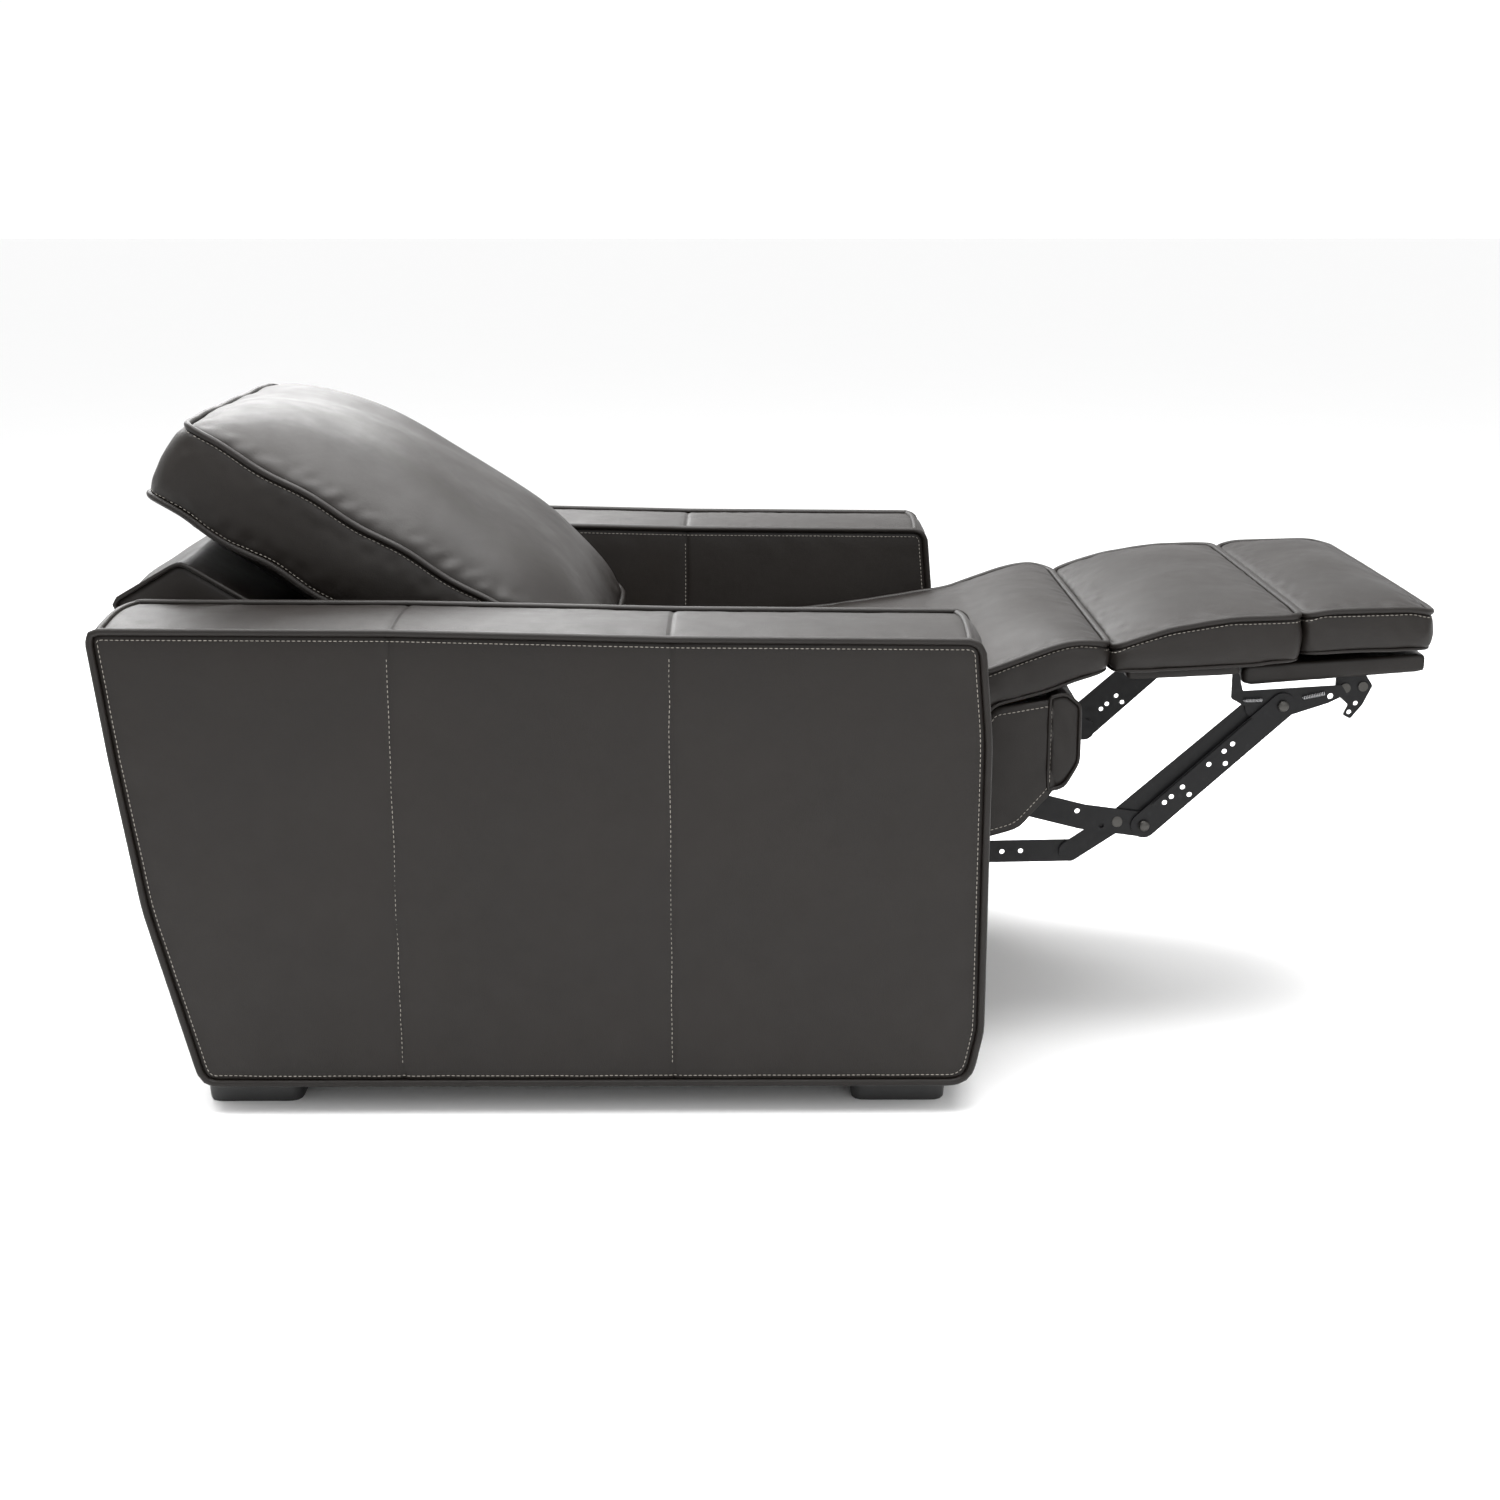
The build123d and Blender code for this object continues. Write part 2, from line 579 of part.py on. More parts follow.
def drive_links():
    link = bar(DRIVE_ROOT, DRIVE_BEND, 30) + bar(DRIVE_BEND, DRIVE_PIN, 30)
    link -= disc(DRIVE_ROOT, PIVOT_R + RUNNING)
    for centre in ((1135, 261), (1160, 262)):
        link -= disc(centre, 3.5)
    save("drive_links", both_sides(link, LAYER_DRIVE, LAYER_DRIVE + PLATE))


def main():
    os.makedirs("parts", exist_ok=True)
    arms()
    feet()
    base_frame()
    switch()
    power_inlet()
    seat_box()
    seat_springs()
    seat_cushion()
    side_plates()
    carriage()
    actuators()
    slide_blocks()
    back()
    back_brackets()
    footrest()
    extension()
    front_links()
    toe_links()
    cross_links()
    drive_links()


if __name__ == "__main__":
    main()
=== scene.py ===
"""Leather upholstery, linkage finishes and studio for a power recliner armchair.

Metres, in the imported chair's own frame: +Z up, -Y towards the footrest, +X to the sitter's left.
Side outlines are (forward, up) points in millimetres, forward from a line just behind the arms.
"""
import json
import math

import bmesh
import bpy
import numpy as np
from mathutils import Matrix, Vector
from mathutils.bvhtree import BVHTree
from mathutils.kdtree import KDTree


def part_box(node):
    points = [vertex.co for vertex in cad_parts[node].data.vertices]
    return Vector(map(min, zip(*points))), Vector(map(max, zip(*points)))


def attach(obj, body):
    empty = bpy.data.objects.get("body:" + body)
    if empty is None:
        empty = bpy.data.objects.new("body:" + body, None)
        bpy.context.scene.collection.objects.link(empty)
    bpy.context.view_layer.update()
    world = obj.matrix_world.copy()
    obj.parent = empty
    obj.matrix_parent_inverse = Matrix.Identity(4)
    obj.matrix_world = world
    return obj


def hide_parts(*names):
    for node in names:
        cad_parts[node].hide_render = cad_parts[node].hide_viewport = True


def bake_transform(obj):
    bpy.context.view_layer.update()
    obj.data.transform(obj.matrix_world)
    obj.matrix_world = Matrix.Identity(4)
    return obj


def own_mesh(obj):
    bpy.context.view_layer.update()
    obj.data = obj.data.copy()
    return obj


bl_info = {
    "name": "Recliner Upholstery",
    "version": (1, 0, 0),
    "blender": (4, 5, 0),
    "location": "View3D > Sidebar > Recliner",
    "description": "Builds the leather, stitching, springs and studio of a power recliner",
    "category": "Object",
}

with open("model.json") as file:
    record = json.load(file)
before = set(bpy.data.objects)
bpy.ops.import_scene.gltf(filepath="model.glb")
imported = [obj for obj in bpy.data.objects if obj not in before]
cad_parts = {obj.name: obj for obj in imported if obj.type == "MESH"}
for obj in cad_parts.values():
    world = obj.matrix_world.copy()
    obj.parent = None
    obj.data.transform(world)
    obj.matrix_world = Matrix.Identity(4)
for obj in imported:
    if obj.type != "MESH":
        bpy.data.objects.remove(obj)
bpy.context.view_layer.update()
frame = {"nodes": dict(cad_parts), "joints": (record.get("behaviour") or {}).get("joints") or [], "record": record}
MM = 0.001
ARM_LOW, ARM_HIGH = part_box("arm_cover_right")
REAR_GAP = 6 * MM               # from the arms' rearmost point back to where outlines start
REAR_Y = ARM_HIGH[1] + REAR_GAP
HALF_WIDTH = -ARM_LOW[0]
HALF_OPENING = -ARM_HIGH[0]
JOINTS = {joint["name"]: joint for joint in frame["joints"]}
BACK_EDGE = (62, 661)           # forward and up: the top edge of the back frame's face
BACK_LEAN = math.radians(31)    # how far the back rises from level
SIDES = (("right", -1), ("left", 1))

# what sewing does to the leather, in millimetres from a seam
PINCH_REACH = 7
PUCKER_PLACE, PUCKER_REACH = 18, 16
SWELL_REACH = 40
# SHADE_REACH and the groove shade: how far the darkening near seams and grooves reaches, partly burnish, partly
# painted shade
SHADE_REACH = 13
GROOVE_DEPTH, GROOVE_REACH, GROOVE_SHADE_REACH, GROOVE_SHADE = 1.8, 3.5, 5, 0.6
PUCKER_WAVE, SWELL_WAVE = 34 * MM, 210 * MM
WELT_SHADE = 0.8                # a welt's seam shade, where a seam itself has 1

CLOTH_FRAMES = 20
PAD_CORNER = 16
PAD_BULGE = 4 * MM
PAD_TRAVEL = 24 * MM            # most that the filling may move a pad's surface
PAD_WELT_BELOW = 2.2 * MM


# ---- sizes and colours that a user would change ------------------------------------------------

class LeatherSettings(bpy.types.PropertyGroup):
    colour: bpy.props.FloatVectorProperty(
        name="Colour", description="Dyed colour of the leather", subtype="COLOR", size=3,
        min=0, max=1, default=(0.0085, 0.0066, 0.0054))
    grain: bpy.props.FloatProperty(
        name="Grain", description="Size of one pebble of the grain", unit="LENGTH",
        default=1.3 * MM, min=0.3 * MM, max=5 * MM)
    roughness: bpy.props.FloatProperty(
        name="Roughness", description="How matt the finish is", default=0.46, min=0, max=1)
    back_crown: bpy.props.FloatProperty(
        name="Back crown", description="How far the back cushion's face stands out", unit="LENGTH",
        default=84 * MM, min=0, max=120 * MM)
    pressure: bpy.props.FloatProperty(
        name="Filling", description="Pressure that plumps the cushions", default=4.0, min=0, max=20)


class SeamSettings(bpy.types.PropertyGroup):
    welt: bpy.props.FloatProperty(
        name="Welt", description="Radius of the rolled welts", unit="LENGTH",
        default=4.6 * MM, min=1 * MM, max=12 * MM)
    inset: bpy.props.FloatProperty(
        name="Inset", description="From a welt to the stitching beside it", unit="LENGTH",
        default=9 * MM, min=3 * MM, max=30 * MM)
    pitch: bpy.props.FloatProperty(
        name="Pitch", description="From one stitch to the next", unit="LENGTH",
        default=6.2 * MM, min=2 * MM, max=20 * MM)
    thread: bpy.props.FloatVectorProperty(
        name="Thread", description="Colour of the thread", subtype="COLOR", size=3, min=0, max=1,
        default=(0.27, 0.25, 0.22))


class SteelSettings(bpy.types.PropertyGroup):
    coat: bpy.props.FloatVectorProperty(
        name="Coat", description="Colour of the linkage's coat", subtype="COLOR", size=3,
        min=0, max=1, default=(0.0055, 0.0055, 0.006))
    rivet: bpy.props.FloatProperty(
        name="Rivet", description="Radius of a rivet head", unit="LENGTH",
        default=7.5 * MM, min=3 * MM, max=15 * MM)


class StudioSettings(bpy.types.PropertyGroup):
    floor: bpy.props.FloatProperty(
        name="Floor", description="How pale the floor is", default=0.92, min=0, max=1)
    light: bpy.props.FloatProperty(
        name="Light", description="Power of the large light overhead", default=260, min=0, max=2000)


# ---- places ------------------------------------------------------------------------------------

def at(forward, up, x=0.0):
    """A place in metres, from millimetres forward of the outlines' start and up from the floor."""
    return np.array((x, REAR_Y - forward * MM, up * MM))


def side_place(p, q, h):
    """An outline drawn in the chair's side, with its thickness across the chair."""
    return np.stack([h, REAR_Y - p, q], axis=-1)


def plan_place(p, q, h):
    """An outline drawn from above, forward and across, with its thickness upwards."""
    return np.stack([q, REAR_Y - p, h], axis=-1)


def back_place(p, q, h):
    """An outline on the reclined back: p across, q towards its top, h out of its face."""
    c, s = math.cos(BACK_LEAN), math.sin(BACK_LEAN)
    forward = BACK_EDGE[0] * MM - q * c + h * s
    up = BACK_EDGE[1] * MM + q * s + h * c
    return np.stack([p, REAR_Y - forward, up], axis=-1)


def back_side_place(p, q, h):
    """An outline in the back's side: p out of its face, q towards its top, h across."""
    return back_place(h, q, p)


# ---- outlines ----------------------------------------------------------------------------------

def unit(vector):
    return vector / max(np.linalg.norm(vector), 1e-9)


def rounded_loop(corners, radii, steps=6):
    """A closed outline with its corners rounded, and where the middle of each corner lies."""
    corners = [np.array(c, float) * MM for c in corners]
    points, middles = [], []
    for i, corner in enumerate(corners):
        before, after = corners[i - 1], corners[(i + 1) % len(corners)]
        radius = radii[i] * MM
        if radius <= 0:
            middles.append(len(points))
            points.append(corner)
            continue
        u, v = unit(before - corner), unit(after - corner)
        half = math.acos(np.clip(u @ v, -1, 1)) / 2
        centre = corner + unit(u + v) * radius / math.sin(half)
        start, end = corner + u * radius / math.tan(half), corner + v * radius / math.tan(half)
        first = math.atan2(*(start - centre)[::-1])
        sweep = (math.atan2(*(end - centre)[::-1]) - first + math.pi) % (2 * math.pi) - math.pi
        middles.append(len(points) + steps // 2)
        for k in range(steps + 1):
            turn = first + sweep * k / steps
            points.append(centre + radius * np.array((math.cos(turn), math.sin(turn))))
    return np.array(points), middles


def along(points, shares):
    """Points at the given shares of a line's length."""
    steps = np.linalg.norm(np.diff(points, axis=0), axis=1)
    reach = np.concatenate([[0], np.cumsum(steps)]) / steps.sum()
    return np.stack([np.interp(shares, reach, points[:, k]) for k in range(points.shape[1])], axis=1)


def line_length(line):
    return np.linalg.norm(np.diff(line, axis=0), axis=1).sum()


def stretch(loop, first, last):
    """The part of a closed outline from one of its points forward to another."""
    return loop[first:last + 1] if first < last else np.vstack([loop[first:], loop[:last + 1]])


def shares(count, marks=(), reach=0.004):
    """Even shares from 0 to 1, with close ones on either side of each mark."""
    values = list(np.linspace(0, 1, count + 1))
    for mark in marks:
        values += [mark + k * reach for k in (-2, -1, -0.5, 0, 0.5, 1, 2)]
    return np.array(sorted(values))


def ripple(points, wavelength, seed):
    """A smooth random field, about -1 to 1, that varies over the wavelength."""
    rng = np.random.default_rng(seed)
    total = np.zeros(len(points))
    waves = 9
    for _ in range(waves):
        way = unit(rng.normal(size=3)) * rng.uniform(0.6, 1.5) * 2 * math.pi / wavelength
        total += np.sin(points @ way + rng.uniform(0, 2 * math.pi))
    return total / math.sqrt(waves)


# ---- meshes ------------------------------------------------------------------------------------

def new_piece(name, vertices, faces):
    mesh = bpy.data.meshes.new(name)
    mesh.from_pydata([tuple(v) for v in vertices], [], faces)
    made = bmesh.new()
    made.from_mesh(mesh)
    bmesh.ops.recalc_face_normals(made, faces=made.faces)
    made.to_mesh(mesh)
    made.free()
    mesh.shade_smooth()
    piece = bpy.data.objects.new(name, mesh)
    bpy.context.scene.collection.objects.link(piece)
    return piece


def get_points(piece):
    points = np.zeros(len(piece.data.vertices) * 3)
    piece.data.vertices.foreach_get("co", points)
    return points.reshape(-1, 3)


def get_normals(piece):
    normals = np.zeros(len(piece.data.vertices) * 3)
    piece.data.vertices.foreach_get("normal", normals)
    return normals.reshape(-1, 3)


def set_points(piece, points):
    piece.data.vertices.foreach_set("co", np.asarray(points, float).ravel())
    piece.data.update()


class Form:
    """A closed padded form between two outlines, with the lines where its panels meet."""

    def __init__(self, name, loop, corners, place, heights, crowns, bulge=0.0, across=30, up=20,
                 levels=6, power=3.0, lower_across=None):
        s = shares(across) if isinstance(across, int) else across
        t = shares(up) if isinstance(up, int) else up
        low_s = s if lower_across is None else lower_across
        c0, c1, c2, c3 = corners
        bottom = along(stretch(loop, c0, c1), low_s)
        right = along(stretch(loop, c1, c2), t)
        top = along(stretch(loop, c2, c3)[::-1], s)
        left = along(stretch(loop, c3, c0)[::-1], t)
        S, T = np.meshgrid(s, t, indexing="ij")
        grid = ((1 - T)[..., None] * bottom[:, None] + T[..., None] * top[:, None]
                + (1 - S)[..., None] * left[None] + S[..., None] * right[None]
                - ((1 - S) * (1 - T))[..., None] * bottom[0] - (S * (1 - T))[..., None] * bottom[-1]
                - ((1 - S) * T)[..., None] * top[0] - (S * T)[..., None] * top[-1])
        swell = (1 - np.abs(2 * S - 1) ** power) * (1 - np.abs(2 * T - 1) ** power)
        low, high = heights(grid[..., 0], grid[..., 1])
        nu, nv = len(s), len(t)
        vertices = [place(grid[..., 0], grid[..., 1], high + crowns[1] * swell).reshape(-1, 3),
                    place(grid[..., 0], grid[..., 1], low - crowns[0] * swell).reshape(-1, 3)]
        ring = ([(i, 0) for i in range(nu)] + [(nu - 1, j) for j in range(1, nv)]
                + [(i, nv - 1) for i in range(nu - 2, -1, -1)] + [(0, j) for j in range(nv - 2, 0, -1)])
        rows, cols = np.array(ring).T
        outline = grid[rows, cols]
        tangent = np.roll(outline, -1, axis=0) - np.roll(outline, 1, axis=0)
        outward = np.stack([tangent[:, 1], -tangent[:, 0]], axis=1)
        outward /= np.linalg.norm(outward, axis=1)[:, None]
        ring_low, ring_high = low[rows, cols], high[rows, cols]
        self.place, self.outline, self.outward = place, outline, outward
        self.ring_low, self.ring_high = ring_low, ring_high
        for k in range(1, levels):
            share = k / levels
            out = outline + outward * bulge * math.sin(math.pi * share)
            vertices.append(place(out[:, 0], out[:, 1], ring_low + (ring_high - ring_low) * share))
        vertices = np.vstack(vertices)
        size, count = nu * nv, len(ring)
        faces = []
        for i in range(nu - 1):
            for j in range(nv - 1):
                a, b, c, d = i * nv + j, (i + 1) * nv + j, (i + 1) * nv + j + 1, i * nv + j + 1
                faces += [(a, b, c, d), (size + d, size + c, size + b, size + a)]
        flat = [i * nv + j for i, j in ring]
        rings = [[size + k for k in flat]]
        rings += [[2 * size + (k - 1) * count + i for i in range(count)] for k in range(1, levels)]
        rings.append(flat)
        for below, above in zip(rings, rings[1:]):
            for i in range(count):
                n = (i + 1) % count
                faces.append((below[i], below[n], above[n], above[i]))
        self.piece = new_piece(name, vertices, faces)
        self.seams = [closed(self.line(0)), closed(self.line(1))]

    def line(self, share, out=0.0, shift=0.0):
        """The closed line round the form at a share of its thickness, moved outwards or along it."""
        path = self.outline + self.outward * out
        height = self.ring_low + (self.ring_high - self.ring_low) * share + shift
        return self.place(path[:, 0], path[:, 1], height)


def closed(points):
    return np.vstack([points, points[:1]])


def between(low, high):
    """The two faces of a form that is equally thick all over."""
    return lambda p, q: (np.full_like(p, low), np.full_like(p, high))


def nearest_distance(points, lines):
    """How far each point is from the nearest of the lines."""
    counts = [max(int(line_length(line) / (3 * MM)), 8) for line in lines]
    marks = np.vstack([along(line, np.linspace(0, 1, count)) for line, count in zip(lines, counts)])
    tree = KDTree(len(marks))
    for i, mark in enumerate(marks):
        tree.insert(mark, i)
    tree.balance()
    return np.array([tree.find(p)[2] for p in points])


def inflate(piece, seams, voxel, cap):
    """Plumps a closed form as cloth with its seams held, then subdivides it once."""
    scene = bpy.context.scene
    remesh = piece.modifiers.new("Remesh", "REMESH")
    remesh.mode = "VOXEL"
    remesh.voxel_size = voxel
    bake_modifiers(piece)
    rest = get_points(piece)
    held = nearest_distance(rest, seams) < voxel * 0.9
    group = piece.vertex_groups.new(name="seam")
    group.add([int(i) for i in np.nonzero(held)[0]], 1.0, "REPLACE")
    cloth = piece.modifiers.new("Cloth", "CLOTH")
    cloth.settings.use_pressure = True
    cloth.settings.uniform_pressure_force = scene.recliner_leather.pressure
    cloth.settings.effector_weights.gravity = 0
    cloth.settings.vertex_group_mass = "seam"
    cloth.settings.quality = 4
    cloth.collision_settings.use_collision = False
    cloth.point_cache.frame_start = 1
    cloth.point_cache.frame_end = CLOTH_FRAMES
    for number in range(1, CLOTH_FRAMES + 1):
        scene.frame_set(number)
    bake_modifiers(piece)
    scene.frame_set(1)
    moved = get_points(piece) - rest
    far = np.linalg.norm(moved, axis=1)
    scale = np.where(far > 0, cap * np.tanh(far / cap) / np.maximum(far, 1e-9), 1)
    set_points(piece, rest + moved * scale[:, None])
    piece.vertex_groups.clear()
    smooth = piece.modifiers.new("Smooth", "SMOOTH")
    smooth.factor, smooth.iterations = 0.5, 4
    subdivide = piece.modifiers.new("Subdivision", "SUBSURF")
    subdivide.levels = subdivide.render_levels = 1
    bake_modifiers(piece)
    piece.data.shade_smooth()


def bake_modifiers(piece):
    """Makes what the modifiers show the piece's own plain mesh."""
    bpy.context.view_layer.update()
    graph = bpy.context.evaluated_depsgraph_get()
    mesh = bpy.data.meshes.new_from_object(piece.evaluated_get(graph))
    piece.modifiers.clear()
    piece.data = mesh


def tool_leather(piece, seams, pinch, pucker, swell, seed, grooves=()):
    """Draws the surface in at its seams, puckers it beside them, and marks how near they are."""
    points, normals = get_points(piece), get_normals(piece)
    gap = nearest_distance(points, seams) / MM
    offset = -pinch * np.exp(-(gap / PINCH_REACH) ** 2)
    beside = np.exp(-((gap - PUCKER_PLACE) / PUCKER_REACH) ** 2)
    offset += pucker * beside * ripple(points, PUCKER_WAVE, seed)
    offset += swell * (1 - np.exp(-(gap / SWELL_REACH) ** 2)) * ripple(points, SWELL_WAVE, seed + 7)
    groove_gap = np.full(len(points), 1e3)
    for forward in grooves:
        here = np.abs((REAR_Y - points[:, 1]) / MM - forward)
        groove_gap = np.minimum(groove_gap, here)
        offset -= GROOVE_DEPTH * np.exp(-(here / GROOVE_REACH) ** 2)
    set_points(piece, points + normals * offset[:, None] * MM)
    # seam_shade darkens the leather near seams and grooves: partly burnish, partly painted shade
    shade = piece.data.attributes.new("seam_shade", "FLOAT", "POINT")
    grooved = GROOVE_SHADE * np.exp(-groove_gap / GROOVE_SHADE_REACH)
    shade.data.foreach_set("value", np.exp(-gap / SHADE_REACH) + grooved)


def settle(piece, line, lift):
    """A closed line laid onto the piece, then smoothed so that it runs evenly round corners."""
    dense = along(line, np.linspace(0, 1, int(line_length(line) / (6 * MM))))
    laid = on_surface(piece, dense[:-1], lift)
    for _ in range(5):
        laid = (np.roll(laid, 1, axis=0) + 2 * laid + np.roll(laid, -1, axis=0)) / 4
    return closed(laid)


def on_surface(piece, points, lift=0.0):
    """The points laid onto the piece's surface."""
    tree = BVHTree.FromObject(piece, bpy.context.evaluated_depsgraph_get())
    laid = []
    for point in points:
        spot, normal, _, _ = tree.find_nearest(Vector(point))
        laid.append(spot + normal * lift)
    return np.array(laid)


# ---- repeated things, made by Geometry Nodes ---------------------------------------------------

def geometry_tree(name, sizes, build):
    """A tree with named sizes that ends in real geometry with one material."""
    tree = bpy.data.node_groups.new(name, "GeometryNodeTree")
    tree.interface.new_socket("Path", in_out="INPUT", socket_type="NodeSocketGeometry")
    for label, size in sizes.items():
        socket = tree.interface.new_socket(label, in_out="INPUT", socket_type="NodeSocketFloat")
        socket.default_value = size
    tree.interface.new_socket("Material", in_out="INPUT", socket_type="NodeSocketMaterial")
    tree.interface.new_socket("Geometry", in_out="OUTPUT", socket_type="NodeSocketGeometry")
    given = tree.nodes.new("NodeGroupInput")
    result = tree.nodes.new("NodeGroupOutput")
    real = tree.nodes.new("GeometryNodeRealizeInstances")
    finish = tree.nodes.new("GeometryNodeSetMaterial")
    tree.links.new(build(tree, given), real.inputs[0])
    tree.links.new(real.outputs[0], finish.inputs["Geometry"])
    tree.links.new(given.outputs["Material"], finish.inputs["Material"])
    tree.links.new(finish.outputs[0], result.inputs[0])
    return tree


def add_node(tree, kind, **values):
    node = tree.nodes.new(kind)
    for name, value in values.items():
        setattr(node, name, value)
    return node


def build_welt(tree, given):
    """A round cord along each path."""
    ring = add_node(tree, "GeometryNodeCurvePrimitiveCircle")
    ring.inputs["Resolution"].default_value = 10
    solid = add_node(tree, "GeometryNodeCurveToMesh")
    smooth = add_node(tree, "GeometryNodeSetShadeSmooth")
    tree.links.new(given.outputs["Radius"], ring.inputs["Radius"])
    tree.links.new(given.outputs["Path"], solid.inputs["Curve"])
    tree.links.new(ring.outputs[0], solid.inputs["Profile Curve"])
    solid.inputs["Fill Caps"].default_value = True
    tree.links.new(solid.outputs[0], smooth.inputs[0])
    return smooth.outputs[0]


def build_stitches(tree, given):
    """Evenly spaced stitches along each path, each a short grain in line with it."""
    even = add_node(tree, "GeometryNodeResampleCurve")
    even.mode = "LENGTH"
    tree.links.new(given.outputs["Path"], even.inputs["Curve"])
    tree.links.new(given.outputs["Pitch"], even.inputs["Length"])
    stitch = add_node(tree, "GeometryNodeMeshUVSphere")
    stitch.inputs["Segments"].default_value = 6
    stitch.inputs["Rings"].default_value = 4
    stitch.inputs["Radius"].default_value = 1.0
    tangent = add_node(tree, "GeometryNodeInputTangent")
    turn = add_node(tree, "FunctionNodeAlignRotationToVector", axis="X")
    tree.links.new(tangent.outputs[0], turn.inputs["Vector"])
    shape = add_node(tree, "ShaderNodeCombineXYZ")
    tree.links.new(given.outputs["Half length"], shape.inputs[0])
    tree.links.new(given.outputs["Thread"], shape.inputs[1])
    tree.links.new(given.outputs["Thread"], shape.inputs[2])
    smooth = add_node(tree, "GeometryNodeSetShadeSmooth")
    tree.links.new(stitch.outputs["Mesh"], smooth.inputs[0])
    row = add_node(tree, "GeometryNodeInstanceOnPoints")
    tree.links.new(even.outputs[0], row.inputs["Points"])
    tree.links.new(smooth.outputs[0], row.inputs["Instance"])
    tree.links.new(turn.outputs[0], row.inputs["Rotation"])
    tree.links.new(shape.outputs[0], row.inputs["Scale"])
    return row.outputs[0]


def build_rivets(tree, given):
    """A domed head at each point, on an axle across the chair."""
    head = add_node(tree, "GeometryNodeMeshUVSphere")
    head.inputs["Segments"].default_value = 18
    head.inputs["Rings"].default_value = 9
    head.inputs["Radius"].default_value = 1.0
    smooth = add_node(tree, "GeometryNodeSetShadeSmooth")
    tree.links.new(head.outputs["Mesh"], smooth.inputs[0])
    shape = add_node(tree, "ShaderNodeCombineXYZ")
    tree.links.new(given.outputs["Height"], shape.inputs[0])
    tree.links.new(given.outputs["Radius"], shape.inputs[1])
    tree.links.new(given.outputs["Radius"], shape.inputs[2])
    row = add_node(tree, "GeometryNodeInstanceOnPoints")
    tree.links.new(given.outputs["Path"], row.inputs["Points"])
    tree.links.new(smooth.outputs[0], row.inputs["Instance"])
    tree.links.new(shape.outputs[0], row.inputs["Scale"])
    return row.outputs[0]


def build_coil(tree, given):
    """One upright coil of round wire, which the caller lays in its place."""
    coil = add_node(tree, "GeometryNodeCurveSpiral")
    coil.inputs["Resolution"].default_value = 14
    coil.inputs["Rotations"].default_value = 13
    ring = add_node(tree, "GeometryNodeCurvePrimitiveCircle")
    ring.inputs["Resolution"].default_value = 6
    solid = add_node(tree, "GeometryNodeCurveToMesh")
    smooth = add_node(tree, "GeometryNodeSetShadeSmooth")
    tree.links.new(given.outputs["Radius"], coil.inputs["Start Radius"])
    tree.links.new(given.outputs["Radius"], coil.inputs["End Radius"])
    tree.links.new(given.outputs["Length"], coil.inputs["Height"])
    tree.links.new(given.outputs["Wire"], ring.inputs["Radius"])
    tree.links.new(coil.outputs[0], solid.inputs["Curve"])
    tree.links.new(ring.outputs[0], solid.inputs["Profile Curve"])
    solid.inputs["Fill Caps"].default_value = True
    tree.links.new(solid.outputs[0], smooth.inputs[0])
    return smooth.outputs[0]


TREE_SIZES = {
    "welt": (build_welt, {"Radius": 5 * MM}),
    "stitches": (build_stitches, {"Pitch": 7 * MM, "Half length": 2.4 * MM, "Thread": 0.55 * MM}),
    "rivets": (build_rivets, {"Height": 3 * MM, "Radius": 7 * MM}),
    "coil": (build_coil, {"Radius": 3 * MM, "Length": 30 * MM, "Wire": 0.5 * MM}),
}


def grow(kind, name, source, material, **sizes):
    """Runs one of the trees on a curve or mesh, and gives back the plain mesh that it makes."""
    build, defaults = TREE_SIZES[kind]
    tree = bpy.data.node_groups.get(kind) or geometry_tree(kind, defaults, build)
    nodes = source.modifiers.new(kind, "NODES")
    nodes.node_group = tree
    for item in tree.interface.items_tree:
        if item.in_out == "INPUT" and item.name in sizes:
            nodes[item.identifier] = sizes[item.name]
        if item.in_out == "INPUT" and item.name == "Material":
            nodes[item.identifier] = material
    bpy.context.view_layer.update()
    mesh = bpy.data.meshes.new_from_object(source.evaluated_get(bpy.context.evaluated_depsgraph_get()))
    mesh.name = name
    bpy.data.objects.remove(source)
    piece = bpy.data.objects.new(name, mesh)
    bpy.context.scene.collection.objects.link(piece)
    return piece


def path_curve(name, lines):
    curve = bpy.data.curves.new(name, "CURVE")
    curve.dimensions = "3D"
    for line in lines:
        ends_meet = bool(np.linalg.norm(line[0] - line[-1]) < 1e-6)
        points = line[:-1] if ends_meet else line
        spline = curve.splines.new("POLY")
        spline.points.add(len(points) - 1)
        spline.points.foreach_set("co", np.hstack([points, np.ones((len(points), 1))]).ravel())
        spline.use_cyclic_u = ends_meet
    source = bpy.data.objects.new(name + "_path", curve)
    bpy.context.scene.collection.objects.link(source)
    return source


def point_cloud(name, points):
    mesh = bpy.data.meshes.new(name)
    mesh.from_pydata([tuple(p) for p in points], [], [])
    source = bpy.data.objects.new(name + "_points", mesh)
    bpy.context.scene.collection.objects.link(source)
    return source


def sew_welts(name, lines, radius=None):
    seams = bpy.context.scene.recliner_seams
    lines = [along(line, np.linspace(0, 1, int(line_length(line) / (5 * MM)))) for line in lines]
    piece = grow("welt", name, path_curve(name, lines), finish("leather"), Radius=radius or seams.welt)
    # the welts take the seams' darkening: painted shade as well as burnish
    shade = piece.data.attributes.new("seam_shade", "FLOAT", "POINT")
    shade.data.foreach_set("value", np.full(len(piece.data.vertices), WELT_SHADE))
    return piece


def sew_stitches(name, lines):
    seams = bpy.context.scene.recliner_seams
    return grow("stitches", name, path_curve(name, lines), finish("thread"), Pitch=seams.pitch)


# ---- finishes ----------------------------------------------------------------------------------

FINISHES = {}


def finish(name):
    """The material of that name, made the first time it is asked for."""
    if name not in FINISHES:
        FINISHES[name] = FINISH_MAKERS[name](name)
    return FINISHES[name]


def start_material(name):
    material = bpy.data.materials.new(name)
    material.use_nodes = True
    tree = material.node_tree
    shader = tree.nodes["Principled BSDF"]
    place = tree.nodes.new("ShaderNodeTexCoord")
    return material, tree, shader, place.outputs["Object"]


